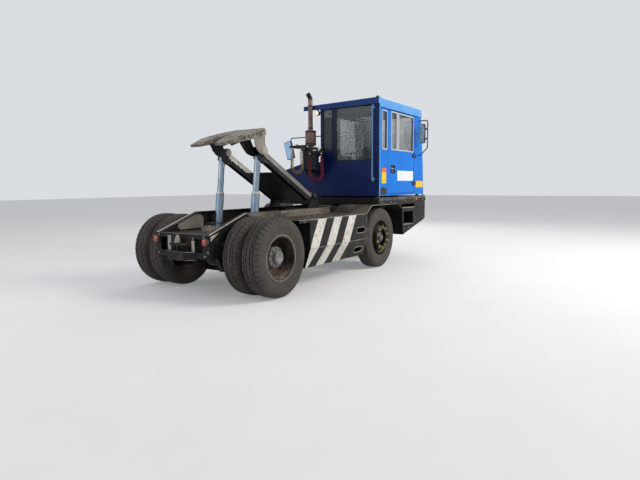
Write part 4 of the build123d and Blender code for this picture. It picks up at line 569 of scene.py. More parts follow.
for material, nodes in node_rows:
    for node in nodes.split():
        node_mesh = frame["nodes"][node].data
        node_mesh.materials.clear()
        node_mesh.materials.append(materials[material])


# Camera, light and floor

camera_data = bpy.data.cameras.new("camera")
camera_data.lens = 27.737
camera_data.sensor_width = 36.0
camera = bpy.data.objects.new("camera", camera_data)
bpy.context.scene.collection.objects.link(camera)
bpy.context.scene.camera = camera
camera_yaw = radians(33.942)
camera_pitch = radians(-6.331)
camera_roll = radians(-0.46)
gaze = Vector((cos(camera_pitch) * cos(camera_yaw), cos(camera_pitch) * sin(camera_yaw), sin(camera_pitch)))
level_right = Vector((sin(camera_yaw), -cos(camera_yaw), 0))
level_up = level_right.cross(gaze)
camera_right = level_right * cos(camera_roll) + level_up * sin(camera_roll)
camera_up = camera_right.cross(gaze)
camera.matrix_world = Matrix((
    (camera_right.x, camera_up.x, -gaze.x, ahead(-5.2165)), (camera_right.y, camera_up.y, -gaze.y, -5.3673),
    (camera_right.z, camera_up.z, -gaze.z, 1.5345), (0, 0, 0, 1)
))


def soft_light(name, place, target, size, power, colour=(1, 1, 1)):
    data = bpy.data.lights.new(name, "AREA")
    data.size = size
    data.energy = power
    data.color = colour
    light = bpy.data.objects.new(name, data)
    light.location = place
    light.rotation_euler = (Vector(target) - Vector(place)).to_track_quat("-Z", "Y").to_euler()
    bpy.context.scene.collection.objects.link(light)


soft_light("key_light", (3.5, -10.0, 8.5), (0, 0, 1.0), 5.0, 1120, (1.0, 0.96, 0.9))
soft_light("fill_light", (-10.0, 3.0, 6.0), (0, 0, 1.2), 7.0, 240, (0.9, 0.95, 1.0))
soft_light("front_light", (9.0, 4.0, 6.0), (0, 0, 1.2), 6.0, 260)
world = bpy.data.worlds.new("studio")
bpy.context.scene.world = world
world.use_nodes = True
world_nodes = world.node_tree.nodes
world_links = world.node_tree.links
world_nodes["Background"].inputs["Color"].default_value = (0.82, 0.85, 0.89, 1)


def pale_for_view(nodes, links, lit, seen):
    # The strength that lamps give, and a paler one where the camera, glass or metal looks at it
    path = nodes.new("ShaderNodeLightPath")
    looks = path.outputs["Is Camera Ray"]
    for name in ("Is Glossy Ray", "Is Transmission Ray"):
        either = nodes.new("ShaderNodeMath")
        either.operation = "MAXIMUM"
        links.new(looks, either.inputs[0])
        links.new(path.outputs[name], either.inputs[1])
        looks = either.outputs[0]
    strength = nodes.new("ShaderNodeMapRange")
    strength.inputs["To Min"].default_value = lit
    strength.inputs["To Max"].default_value = seen
    links.new(looks, strength.inputs["Value"])
    return strength.outputs[0]


world_links.new(pale_for_view(world_nodes, world_links, 0.55, 0.85), world_nodes["Background"].inputs["Strength"])
bpy.context.scene.view_settings.view_transform = "Standard"

floor_mesh = bpy.data.meshes.new("floor")
floor_mesh.from_pydata([(-60, -60, 0), (60, -60, 0), (60, 60, 0), (-60, 60, 0)], [], [(0, 1, 2, 3)])
floor = bpy.data.objects.new("floor", floor_mesh)
bpy.context.scene.collection.objects.link(floor)
floor_shader = Shader()
floor_shader.material.name = "floor_matt"
floor_grain = floor_shader.noise(1.2, 5)
floor_shader.set(Base_Color=floor_shader.mix(floor_grain, (0.6, 0.6, 0.59), (0.66, 0.66, 0.65)), Roughness=0.9)
floor_shader.set(
    Emission_Color=(0.92, 0.93, 0.95, 1),
    Emission_Strength=pale_for_view(floor_shader.tree.nodes, floor_shader.tree.links, 0.0, 0.2)
)
floor_mesh.materials.append(floor_shader.material)


# Curly air hoses: one helix of hose along each route

red_route = [
    (2.450, 0.005, 2.130), (2.450, 0.005, 2.080), (2.444, 0.009, 2.010), (2.440, 0.014, 1.922),
    (2.442, 0.015, 1.830), (2.446, 0.010, 1.742), (2.449, -0.026, 1.674), (2.452, -0.090, 1.636),
    (2.449, -0.166, 1.632), (2.446, -0.231, 1.669), (2.443, -0.268, 1.738), (2.441, -0.273, 1.826),
    (2.442, -0.268, 1.916), (2.446, -0.259, 2.004), (2.450, -0.250, 2.078), (2.450, -0.250, 2.130),
]
yellow_route = [
    (2.450, 0.400, 2.250), (2.450, 0.400, 2.195), (2.444, 0.404, 2.118), (2.440, 0.411, 2.030),
    (2.442, 0.416, 1.942), (2.446, 0.412, 1.862), (2.449, 0.382, 1.808), (2.452, 0.331, 1.778),
    (2.449, 0.270, 1.776), (2.446, 0.217, 1.807), (2.443, 0.188, 1.860), (2.441, 0.184, 1.940),
    (2.442, 0.190, 2.030), (2.446, 0.199, 2.120), (2.450, 0.205, 2.195), (2.450, 0.205, 2.250),
]
coil_radius = 0.037
hose_radius = 0.0065
coil_pitch = 0.038
turn_steps = 14


def smooth_route(points):
    # Points along the route's own smooth curve
    data = bpy.data.curves.new("route", "CURVE")
    data.dimensions = "3D"
    data.resolution_u = 24
    spline = data.splines.new("NURBS")
    spline.points.add(len(points) - 1)
    for point, place in zip(spline.points, points):
        point.co = (ahead(place[0]), place[1], place[2], 1)
    spline.order_u = 3
    spline.use_endpoint_u = True
    holder = bpy.data.objects.new("route", data)
    bpy.context.scene.collection.objects.link(holder)
    mesh = bpy.data.meshes.new_from_object(holder)
    line = [v.co.copy() for v in mesh.vertices]
    bpy.data.objects.remove(holder)
    bpy.data.curves.remove(data)
    bpy.data.meshes.remove(mesh)
    return line


def measured(line):
    # The distance along the line to each of its points
    reached = [0.0]
    for back, here in zip(line, line[1:]):
        reached.append(reached[-1] + (here - back).length)
    return reached


def curly(name, route, material, node):
    # Straight tails at both ends, and between them a helix that turns round the route
    line = smooth_route(route)
    reached = measured(line)
    total = reached[-1]
    tail = 0.05
    turns = round((total - 2 * tail) / coil_pitch)
    helix = [line[0]]
    index = 0
    spoke = frame_of(line[1] - line[0])[1]
    for i in range(turns * turn_steps + 1):
        share = i / (turns * turn_steps)
        distance = tail + share * (total - 2 * tail)
        while reached[index + 1] < distance:
            index += 1
        part = (distance - reached[index]) / (reached[index + 1] - reached[index])
        centre = line[index].lerp(line[index + 1], part)
        along = (line[index + 1] - line[index]).normalized()
        spoke = (spoke - along * spoke.dot(along)).normalized()
        other = along.cross(spoke)
        angle = 2 * pi * i / turn_steps
        swell = min(1, share * turns / 1.5, (1 - share) * turns / 1.5)
        wide = (coil_radius - hose_radius) * (1 + 0.05 * sin(3.1 * share * 2 * pi)) * 0.95
        helix.append(centre + (spoke * cos(angle) + other * sin(angle)) * wide * swell)
    helix.append(line[-1])
    made = piece(name, pipe(helix, hose_radius, 7), material)
    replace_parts(made, node)


curly("red_curly_hose", red_route, "red_hose", "hose_red")
curly("yellow_curly_hose", yellow_route, "yellow_hose", "hose_yellow")


# Tyres with tread blocks, and what is bolted to the rims

tread_slots = 46
slot_depth = 0.013
slot_shares = (0.0, 0.42, 0.84, 0.87, 0.97)
# Half of a tyre's section: distance from its middle, radius, and 1 where the slots of the tread cut it, or 2 where
# they cut it a third of a slot further round
tyre_rows = [
    (0.103, 0.2985, 0), (0.108, 0.303, 0), (0.114, 0.321, 0), (0.1215, 0.345, 0), (0.1235, 0.352, 0),
    (0.1235, 0.360, 0), (0.1300, 0.375, 0), (0.1400, 0.410, 0), (0.1425, 0.440, 0), (0.1410, 0.470, 0),
    (0.1400, 0.474, 0), (0.1400, 0.481, 0), (0.1360, 0.492, 0), (0.1290, 0.512, 1), (0.1150, 0.536, 1),
    (0.1080, 0.5455, 1), (0.0790, 0.5515, 1), (0.0770, 0.540, 0), (0.0670, 0.540, 0), (0.0650, 0.5525, 2),
    (0.0370, 0.5545, 2), (0.0350, 0.541, 0), (0.0250, 0.541, 0), (0.0230, 0.5545, 0), (0.0050, 0.555, 0),
]


def tyre(centre):
    rows = [(-offset, radius, cut) for offset, radius, cut in tyre_rows]
    rows += [row for row in reversed(tyre_rows)]
    steps = tread_slots * len(slot_shares)
    corners = []
    for offset, radius, cut in rows:
        for i in range(steps):
            slot, part = divmod(i, len(slot_shares))
            turn = slot + slot_shares[part] + (0.35 if cut == 2 else 0.0) + (0.5 if offset > 0 else 0.0)
            depth = slot_depth if cut and part > 2 else 0.0
            angle = 2 * pi * turn / tread_slots
            corners.append((
                centre[0] + (radius - depth) * sin(angle), centre[1] + offset,
                centre[2] + (radius - depth) * cos(angle)
            ))
    return corners, skin(len(rows), steps)


# Each wheel: name, body, x, side, the middles of its tyres, disc face, ring of nuts, hub face
wheel_rows = [
    ("rear_left", "wheels_rear_left", rear_axle_x, 1, (0.765, 1.108), 0.9505, 0.140, 1.085),
    ("rear_right", "wheels_rear_right", rear_axle_x, -1, (0.765, 1.108), 0.9505, 0.140, 1.085),
    ("front_left", "wheel_front_left", front_axle_x, 1, (1.065,), 1.212, 0.190, 1.192),
    ("front_right", "wheel_front_right", front_axle_x, -1, (1.065,), 1.212, 0.190, 1.192),
]
for name, body, wheel_x, hand, middles, disc, nut_ring, hub_face in wheel_rows:
    tyres = joined(*[tyre((wheel_x, hand * middle, wheel_z)) for middle in middles])
    node = ("tyres_" if len(middles) > 1 else "tyre_") + name
    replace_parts(piece(node.replace("tyre", "treaded_tyre"), tyres, "tyre_rubber", body, smooth=32), node)
    out = (0, hand, 0)
    nuts, pointers, caps = [], [], []
    for i in range(10):
        angle = 2 * pi * (i + 0.5 * (hand > 0)) / 10
        spot = (wheel_x + nut_ring * sin(angle), hand * disc, wheel_z + nut_ring * cos(angle))
        tall = 0.046 if len(middles) > 1 else 0.026
        nuts.append(nut(spot, out, 0.0195, tall, angle))
        nuts.append(turned(
            [(0.011, tall), (0.011, tall + 0.014), (0.009, tall + 0.017), (0, tall + 0.017)], spot, out, 12
        ))
        point = angle + 0.35
        tip = Vector(spot) + Vector((0.04 * sin(point), hand * tall * 0.5, 0.04 * cos(point)))
        collar = turned([(0.024, tall * 0.35), (0.024, tall * 0.62), (0.02, tall * 0.62)], spot, out, 14)
        pointer = turned([(0.012, -0.003), (0.012, 0.003), (0.004, 0.003)], tip, out, 3, angle)
        pointers.append(joined(collar, pointer))
    for i in range(8):
        angle = 2 * pi * i / 8
        spot = (wheel_x + 0.06 * sin(angle), hand * hub_face, wheel_z + 0.06 * cos(angle))
        caps.append(nut(spot, out, 0.009, 0.009, angle))
    caps.append(turned(
        [(0.04, 0), (0.04, 0.012), (0.034, 0.02), (0.014, 0.024), (0, 0.024)], (wheel_x, hand * hub_face, wheel_z),
        out, 32
    ))
    valve_foot = Vector((wheel_x + 0.235, hand * (min(disc, 1.117) - 0.01), wheel_z + 0.09))
    piece(
        "wheel_nuts_" + name,
        [
            *nuts,
            bent([
                valve_foot, valve_foot + Vector((0.02, hand * 0.05, 0.004)),
                valve_foot + Vector((0.035, hand * 0.075, 0.006))
            ], 0.02, 0.004, 8)
        ],
        "worn_steel", body, smooth=35
    )
    piece("hub_cap_" + name, caps, "hub_paint", body, smooth=35)
    if len(middles) > 1:
        flange = turned([
            (0.1125, 1.055), (0.138, 1.06), (0.148, 1.072), (0.149, 1.118), (0.142, 1.13), (0.126, 1.134),
            (0.098, 1.134), (0.094, 1.142), (0.09, 1.182), (0.08, 1.192), (0.045, 1.196), (0, 1.196)
        ], (wheel_x, 0, wheel_z), out, 48)
        studs = [nut(
            (wheel_x + 0.123 * sin(2 * pi * i / 10), hand * 1.134, wheel_z + 0.123 * cos(2 * pi * i / 10)), out,
            0.0125, 0.016, i
        ) for i in range(10)]
        piece(
            "axle_hub_" + name,
            [
                flange, *studs,
                *[turned(
                    [(0.012, 0), (0.012, 0.006), (0.005, 0.007), (0, 0.004)],
                    (wheel_x + 0.06 * sin(2 * pi * i / 5), hand * 1.1945, wheel_z + 0.06 * cos(2 * pi * i / 5)), out,
                    10
                ) for i in range(5)]
            ],
            "hub_paint", body, smooth=35
        )
        bead = ring(
            [(0.31, 0.0), (0.3205, 0.0), (0.3205, 0.0035), (0.31, 0.003)], (wheel_x, hand * 1.2222, wheel_z), out, 72
        )
        piece("rim_edge_" + name, bead, "lip_paint", body, smooth=35)
    if len(middles) == 1:
        piece(
            "wheel_dish_" + name,
            ring([
                (0.228, 0.0), (0.222, 0.07), (0.216, 0.088), (0.204, 0.095), (0.17, 0.096), (0.16, 0.092),
                (0.158, 0.075), (0.205, 0.072), (0.215, -0.0008)
            ], (wheel_x, hand * 1.118, wheel_z), out, 72),
            "frame_paint", body, smooth=40
        )
        piece("nut_pointers_" + name, pointers, "lime_plastic", body, smooth=35)
        piece(
            "rim_lip_" + name,
            ring(
                [(0.2855, 0.0), (0.29, 0.004), (0.3195, 0.004), (0.3215, 0.0)], (wheel_x, hand * 1.1753, wheel_z),
                out, 72
            ),
            "lip_paint", body, smooth=35
        )


# Fifth wheel: places on the tilted plate are given along it, to the left and above its pin

wheel_tilt = radians(15)


def tilted(*shapes):
    places, faces = joined(*shapes)
    corners = [(
        boom_head.x + u * cos(wheel_tilt) - h * sin(wheel_tilt), w,
        boom_head.z + u * sin(wheel_tilt) + h * cos(wheel_tilt)
    ) for u, w, h in places]
    return corners, faces


grease_ribs, rivets, edge_rings = [], [], []
for w_hand in (-1, 1):
    for u_low, w_near, w_far in ((0.16, 0.05, 0.30), (0.06, 0.10, 0.38), (-0.12, 0.15, 0.40), (-0.26, 0.17, 0.37)):
        line = [
            (u_low, w_hand * w_near, 0.3101), (u_low + 0.03, w_hand * (w_near + w_far) / 2, 0.3101),
            (u_low, w_hand * w_far, 0.3101)
        ]
        grease_ribs.append(pipe(rounded(line, 0.2, 8), 0.0032, 6))
    for u, w in ((0.235, 0.12), (0.235, 0.27), (0.14, 0.405), (0.0, 0.44), (-0.19, 0.44), (-0.37, 0.385)):
        rivets.append(button((0.017, 0.002, 0.013, 0.004), (u, w_hand * w, 0.31), upward, 16))
    for u, w, lean in (
        (-0.03, 0.4595, 0.02), (-0.11, 0.4622, 0), (-0.19, 0.4622, 0), (-0.27, 0.4405, 0.3), (-0.34, 0.4196, 0.3)
    ):
        edge_rings.append(ring(
            [(0.01, 0), (0.019, 0), (0.017, 0.0035), (0.011, 0.0035)], (u, w_hand * w, 0.268), (-lean, w_hand, 0), 20
        ))
piece("grease_tracks", tilted(*grease_ribs), "grease_film", "fifth_wheel", smooth=60)
piece("plate_rivets", tilted(*rivets), "plate_steel", "fifth_wheel")
piece("plate_edge_holes", tilted(*edge_rings), "seal_rubber", "fifth_wheel")
jaw_line = [(0.045 * cos(a), 0.045 * sin(a)) for a in [radians(x) for x in range(-150, 151, 15)]]
jaw = slab(
    jaw_line + [(0.026 * cos(a), 0.026 * sin(a)) for a in [radians(x) for x in range(150, -151, -15)]], "z", 0.232,
    0.276
)
piece(
    "king_pin_jaw", tilted(jaw, slab([(0.05, -0.11), (0.1, -0.11), (0.1, 0.24), (0.05, 0.24)], "z", 0.226, 0.25)),
    "worn_steel", "fifth_wheel", bevel=0.003
)
piece(
    "release_handle",
    tilted(pipe(rounded([
        (0.075, -0.1, 0.238), (0.075, -0.415, 0.238), (0.045, -0.432, 0.236), (-0.06, -0.432, 0.232),
        (-0.075, -0.424, 0.23), (-0.075, -0.35, 0.228)
    ], 0.03), 0.008, 10)),
    "worn_steel", "fifth_wheel"
)
front_lugs = []
for w in (-0.235, 0.235):
    front_lugs.append(slab(
        [(0.262, 0.232), (0.285, 0.236), (0.29, 0.262), (0.285, 0.3), (0.262, 0.306)], "y", w - 0.009, w + 0.009
    ))
    front_lugs.append(turned([(0.018, -0.015), (0.018, 0.015), (0, 0.015)], (0.268, w, 0.268), (0, 1, 0), 20))
piece("front_lugs", tilted(*front_lugs), "pale_steel", "fifth_wheel", bevel=0.002)
piece(
    "lock_cylinder",
    tilted(turned(
        [(0, 0), (0.032, 0), (0.036, 0.004), (0.036, 0.15), (0.032, 0.156), (0.012, 0.158), (0.012, 0.2), (0, 0.2)],
        (0.175, 0.05, 0.205), (0, 1, 0), 28
    ), nut((0.175, 0.12, 0.242), upward, 0.009, 0.014)),
    "frame_paint", "fifth_wheel", bevel=0.001
)
stiffeners = []
for w_hand in (-1, 1):
    for u in (-0.20, -0.08, 0.04):
        rib = slab(
            [(w_hand * 0.104, 0.218), (w_hand * 0.104, 0.178), (w_hand * 0.285, 0.205), (w_hand * 0.285, 0.218)], "x",
            u - 0.006, u + 0.006
        )
        stiffeners.append(rib)
piece("plate_stiffeners", tilted(*stiffeners), "dark_steel", "fifth_wheel", bevel=0.0015)
pin_ends = []
for w_hand in (-1, 1):
    out = (0, w_hand, 0)
    pin_ends.append(turned(
        [(0.066, 0), (0.066, 0.009), (0.062, 0.012), (0.034, 0.012), (0.031, 0.017), (0, 0.017)],
        (boom_head.x, w_hand * 0.4575, boom_head.z), out, 32
    ))
    for turn in range(3):
        angle = radians(40 + 120 * turn)
        pin_ends.append(turned(
            [(0.012, 0), (0.012, 0.003), (0, 0.003)],
            (boom_head.x - 0.048 * cos(angle), w_hand * 0.4695, boom_head.z - 0.048 * sin(angle)), out, 12
        ))
        pin_ends.append(nut(
            (boom_head.x + 0.04 * cos(angle), w_hand * 0.4695, boom_head.z + 0.04 * sin(angle)), out, 0.0075, 0.009,
            angle
        ))
    pin_ends.append(turned(
        [(0.064, -0.004), (0.064, 0.01), (0.058, 0.013), (0.03, 0.013), (0, 0.013)],
        (boom_head.x, w_hand * 0.299, boom_head.z), (0, -w_hand, 0), 32
    ))
piece("head_pin_caps", pin_ends, "worn_cap", "fifth_wheel")

# Boom: places are given along it from its pivot, to the left, and square above its middle line

boom_dir = (boom_head - boom_pivot).normalized()
boom_up = Vector((boom_dir.z, 0, -boom_dir.x))


def on_boom(*shapes):
    places, faces = joined(*shapes)
    corners = []
    for along, y, above in places:
        spot = boom_pivot + boom_dir * along + boom_up * above
        corners.append((spot.x, y, spot.z))
    return corners, faces


stations = 40
for hand, cap_paint in ((-1, "strip_paint"), (1, "peeling_cap")):
    side_name = "left" if hand > 0 else "right"
    edge = [0.0185 + 0.0015 * sin(1.7 * i) for i in range(stations)]
    sag, wave, ripple = (0.056, 0.006, 0.005) if hand > 0 else (0.053, 0.003, 0.002)
    foot_line = [-sag - wave * sin(2.3 * i) - ripple * sin(5.1 * i + 1) for i in range(stations)]
    start, end = (0.52, 1.43) if hand > 0 else (0.06, 1.46)
    steps = [start + (end - start) * i / (stations - 1) for i in range(stations)]
    near, far = (0.3235, 0.3252) if hand > 0 else (-0.4268, -0.4252)
    corners, faces = [], []
    for along, top, low in zip(steps, edge, foot_line):
        corners += [(along, near, low), (along, near, top - 0.004), (along, far, low), (along, far, top - 0.004)]
    for i in range(stations - 1):
        b = 4 * i
        faces += [
            (b, b + 1, b + 5, b + 4), (b + 2, b + 6, b + 7, b + 3), (b + 1, b + 3, b + 7, b + 5),
            (b, b + 4, b + 6, b + 2)
        ]
    b = 4 * (stations - 1)
    faces += [(0, 2, 3, 1), (b, b + 1, b + 3, b + 2)]
    piece("boom_worn_strip_" + side_name, on_boom((corners, faces)), cap_paint, "boom", smooth=20)
    welds = []
    for edge_y in (hand * 0.4253, hand * 0.3247):
        bead = [(0.12 + 0.012 * i, edge_y, 0.0175 + 0.0012 * sin(i * 1.9)) for i in range(108)]
        welds.append(pipe(bead, 0.0028, 6))
    piece("boom_welds_" + side_name, on_boom(*welds), "boom_paint", "boom", smooth=60)
    arm_pins = []
    for y in (hand * 0.4255, hand * 0.3245):
        out = (0, 1 if y > hand * 0.375 else -1, 0)
        arm_pins.append(button((0.05, 0.004, 0.045, 0.0055), (0, y, 0), out, 36))
    piece("boom_pivot_washers_" + side_name, on_boom(*arm_pins), "dark_steel", "boom")
lines = [
    bent([
        (0.1, y, above - 0.015), (0.2, y, above), (0.62, y, above), (0.95, y, above), (1.02, y + 0.02, above - 0.02)
    ], 0.04, 0.006, 8)
    for y, above in ((-0.318, -0.03), (-0.318, -0.052), (-0.318, -0.074))
]
clips = [block((along, -0.3255, -0.086), (along + 0.025, -0.3095, -0.018)) for along in (0.26, 0.5, 0.74, 0.9)]
piece("boom_pipes", on_boom(*lines), "dark_steel", "boom")
piece("boom_pipe_clips", on_boom(*clips), "black_plastic", "boom", bevel=0.002)
piece(
    "grease_nipples",
    on_boom(*[turned(
        [(0.006, 0), (0.006, 0.006), (0.004, 0.008), (0.003, 0.016), (0, 0.017)],
        (along, hand * 0.375, 0.022 if along else 0.0205), upward, 10
    ) for hand in (-1, 1) for along in (0.0, 1.4955)]),
    "bright_steel", "boom"
)
bracket_caps = []
for hand in (-1, 1):
    out = (0, hand, 0)
    spot = (boom_pivot.x, hand * 0.467, boom_pivot.z)
    bracket_caps.append(button((0.05, 0.006, 0.046, 0.009), spot, out, 36))
    bracket_caps.append(nut((boom_pivot.x, hand * 0.476, boom_pivot.z), out, 0.014, 0.012))
    for offset in (-0.135, -0.09, 0.09, 0.135):
        bracket_caps.append(nut((boom_pivot.x + offset, hand * 0.516, 1.1612), upward, 0.013, 0.014, offset * 9))
piece("pivot_bolts", bracket_caps, "dark_steel")

# Lift cylinders: glands, clamps and feed pipes

foot = Vector(place(0.34, 0, 0.34))
cylinder_dir = (Vector(place(0.53, 0, 1.97)) - foot).normalized()
for side_name, y in (("left", 0.375), ("right", -0.375)):
    def up_cylinder(distance, y=y):
        return foot + cylinder_dir * distance + Vector((0, y, 0))
    barrel_end, stage_end = 0.5537, 1.1044
    glands = [
        ring(
            [(0.0695, -0.05), (0.0735, -0.047), (0.0735, -0.004), (0.0695, -0.0005)], up_cylinder(barrel_end),
            cylinder_dir, 40
        ),
        ring(
            [(0.0705, -0.3), (0.0745, -0.3), (0.0745, -0.27), (0.0705, -0.27)], up_cylinder(barrel_end), cylinder_dir,
            40
        ),
        ring([(0.0695, 0.0), (0.0735, 0.003), (0.0735, 0.026), (0.0695, 0.03)], up_cylinder(0.078), cylinder_dir, 40)
    ]
    for i in range(8):
        angle = 2 * pi * i / 8
        along, first, second = frame_of(cylinder_dir)
        spot = up_cylinder(barrel_end - 0.028) + (first * cos(angle) + second * sin(angle)) * 0.0725
        glands.append(nut(spot, first * cos(angle) + second * sin(angle), 0.006, 0.006))
    piece("barrel_bands_" + side_name, glands, "pale_steel", "barrel_" + side_name)
    feed = up_cylinder(0.1)
    back = Vector((-1, 0, 0.1)).normalized()
    feed_line = rounded([
        feed + back * 0.068, feed + back * 0.105, feed + back * 0.105 + cylinder_dir * 0.1,
        up_cylinder(barrel_end - 0.06) + back * 0.1, up_cylinder(barrel_end - 0.06) + back * 0.07
    ], 0.03)
    piece(
        "barrel_pipe_" + side_name,
        [pipe(feed_line, 0.008, 10), button((0.016, 0.018, 0.012, 0.02), feed + back * 0.066, back, 6)], "dark_steel",
        "barrel_" + side_name
    )
    piece(
        "stage_gland_" + side_name,
        ring(
            [(0.0615, -0.036), (0.064, -0.033), (0.064, -0.003), (0.0615, -0.0002)], up_cylinder(stage_end),
            cylinder_dir, 40
        ),
        "bright_steel", "stage_" + side_name
    )


# Chassis: bolts, gussets, lamps, stripes, hole rims and step treads

rail_bolts = []
for hand in (-1, 1):
    for a in [0.10 + 0.155 * i for i in range(18)]:
        for z in (0.865, 1.085):
            rail_bolts.append(nut(place(a, hand * 0.54, z), (0, hand, 0), 0.0095, 0.01, a * 7))
    for a, z in (
        (-0.58, 0.83), (-0.58, 0.66), (-0.5, 0.86), (-0.36, 0.92), (-0.2, 0.97), (-0.55, 0.43), (-0.43, 0.43),
        (-0.28, 0.76), (-0.12, 0.78)
    ):
        rail_bolts.append(nut(place(a, hand * 0.54, z), (0, hand, 0), 0.011, 0.011, a * 7))
piece("rail_bolts", rail_bolts, "frame_paint")
# Cream strips along the sloping top edge of each rail's tail: a painted highlight where sun catches the edge
piece(
    "rail_edge_strips",
    both_sides(plate([(-0.655, 0.8862), (0.07, 1.1452), (0.07, 1.1482), (-0.655, 0.8892)], -0.54, -0.522)),
    "cream_paint"
)
pipes_inside = []
for hand in (-1, 1):
    for row, (z, y) in enumerate(((0.985, 0.519), (0.965, 0.519), (0.94, 0.516))):
        start = 0.28 + 0.06 * row
        pipes_inside.append(bent(
            [place(start, hand * y, z - 0.1), place(start, hand * y, z), place(2.1, hand * y, z)], 0.05,
            0.0065 + 0.003 * (row == 2), 8
        ))
piece("frame_pipes", pipes_inside, "seal_rubber")
piece(
    "frame_pipe_clips",
    both_sides(*[bar((a, -0.5275, 0.925), (a + 0.03, -0.503, 0.998)) for a in (0.45, 0.8, 1.15, 1.5, 1.85)]),
    "black_plastic", bevel=0.002
)
piece(
    "member_nuts",
    both_sides(*[
        nut((ahead(a) + side_step, -0.54, z), rightward, 0.012, 0.012)
        for a, low, high in ((2.23, 0.86, 1.08), (4.93, 0.86, 1.08)) for z in (low, high)
        for side_step in (-0.03, 0.03)
    ]),
    "worn_steel"
)

# Tail plate: gussets, lamp rims, worn faces, the drop pin and the worn edges of the lower jaw
tail_x = ahead(-0.68)
gusset = slab([(tail_x + 0.025, 0.6), (tail_x + 0.025, 0.83), (tail_x + 0.115, 0.6)], "y", -0.516, -0.506)
inner_gusset = slab([(tail_x + 0.025, 0.655), (tail_x + 0.025, 0.84), (tail_x + 0.1, 0.84)], "y", -0.252, -0.243)
piece(
    "tail_gussets",
    both_sides(
        gusset, inner_gusset,
        slab(
            [(tail_x + 0.0245, 0.862), (tail_x + 0.0245, 0.886), (tail_x + 0.075, 0.886), (tail_x + 0.075, 0.874)],
            "y", -0.5, 0.0
        )
    ),
    "frame_paint", bevel=0.002
)
lamp_rims, tail_bolts = [], []
for hand in (-1, 1):
    lamp_rims.append(ring(
        [(0.0585, 0), (0.0605, 0), (0.0605, 0.016), (0.0585, 0.018)], (tail_x, hand * 0.494, 0.796), backward, 48
    ))
    lamp_rims.append(ring(
        [(0.047, 0.0365), (0.0585, 0.0225), (0.06, 0.0235), (0.0485, 0.0385)], (tail_x, hand * 0.494, 0.796),
        backward, 48
    ))
    for y, z in ((0.245, 0.83), (0.245, 0.62), (0.47, 0.60), (0.53, 0.66), (0.455, 0.86)):
        tail_bolts.append(nut((tail_x, hand * y, z), backward, 0.011, 0.011, y))
piece("tail_lamp_rims", lamp_rims, "black_plastic", smooth=30)
piece("tail_bolts", tail_bolts, "worn_steel")
piece(
    "tail_wear",
    [
        slab([
            (0.203, 0.655), (0.208, 0.7), (0.204, 0.852), (0.232, 0.86), (0.268, 0.85), (0.271, 0.72), (0.266, 0.655)
        ], "x", tail_x - 0.0016, tail_x + 0.001),
        slab(
            [(-0.216, 0.655), (-0.213, 0.79), (-0.24, 0.806), (-0.27, 0.8), (-0.272, 0.655)], "x", tail_x - 0.0016,
            tail_x + 0.001
        )
    ],
    "worn_cap", smooth=20
)
piece(
    "drop_pin_cone",
    turned([(0.0492, 0.774), (0.0492, 0.779), (0.012, 0.8815), (0, 0.884)], (tail_x - 0.055, 0, 0), upward, 28),
    "worn_cap"
)
jaw_edge = pipe([
    (tail_x + 0.0015, -0.269, 0.54), (tail_x - 0.1053, -0.169, 0.54), (tail_x - 0.1053, 0.169, 0.54),
    (tail_x + 0.0015, 0.269, 0.54)
], 0.0045, 8)
piece(
    "jaw_worn_edges",
    [
        jaw_edge,
        pipe([
            (tail_x + 0.0015, -0.269, 0.6475), (tail_x - 0.1053, -0.169, 0.6475), (tail_x - 0.1053, 0.169, 0.6475),
            (tail_x + 0.0015, 0.269, 0.6475)
        ], 0.0045, 8)
    ],
    "worn_cap", smooth=60
)
pin_x = tail_x - 0.055
piece(
    "drop_pin_keeper",
    [
        ring([(0.0195, 0.1), (0.0235, 0.104), (0.0195, 0.108), (0.0155, 0.104)], (pin_x, 0, 0.782), upward, 24),
        bent([
            (pin_x + 0.02, 0, 0.885), (pin_x + 0.035, 0.02, 0.86), (pin_x + 0.0445, 0.06, 0.8),
            (pin_x + 0.052, 0.075, 0.772)
        ], 0.03, 0.003, 8)
    ],
    "dark_steel"
)

# Deck plates: raised tread bars, edge strip, corner brackets
treads = []
for row in range(22):
    for column in range(12):
        a = 0.5 + row * 0.088 + (0.044 if column % 2 else 0.0)
        y = 0.595 + column * 0.052
        lean = 0.0085 if (row + column) % 2 else -0.0085
        if a < 2.39:
            treads.append(slab([
                (ahead(a) - 0.016, y - lean), (ahead(a), y - 0.0045), (ahead(a) + 0.016, y + lean),
                (ahead(a), y + 0.0045)
            ], "z", 1.0338, 1.0362))
piece("deck_tread", both_sides(*treads), "deck_paint", smooth=20)
piece(
    "deck_edges",
    both_sides(pipe([
        place(0.432, -1.2185, 1.0325), place(2.43, -1.2185, 1.0325), place(2.619, -1.2185, 1.1685),
        place(3.655, -1.2185, 1.1685)
    ], 0.0042, 8)),
    "worn_cap", smooth=60
)
corner = joined(
    plate([(0.52, 1.034), (0.64, 1.034), (0.64, 1.041), (0.527, 1.041), (0.527, 1.1), (0.52, 1.1)], -0.66, -0.615),
    nut(place(0.6, -0.638, 1.041), upward, 0.01, 0.01),
    bent(
        [place(0.8, -0.6, 1.036), place(0.8, -0.6, 1.12), place(0.95, -0.6, 1.12), place(0.95, -0.6, 1.036)], 0.03,
        0.009, 10
    )
)
piece("deck_brackets", both_sides(corner), "worn_steel", bevel=0.0012)
piece(
    "deck_bolts",
    both_sides(*[
        nut(place(a, -y, 1.034), upward, 0.009, 0.008, a * 5) for a in (0.47, 0.95, 1.45, 1.95, 2.37)
        for y in (0.575, 1.19)
    ]),
    "worn_steel"
)

# Side panels: slanted stripes across the fold, hole rims, rivets
lean_y = 0.105 / 0.3


def panel_y(z, proud=0.0014):
    # The outer face of the folded side panel at height z
    return -1.22 - proud + max(0.0, 0.6 - z) * lean_y


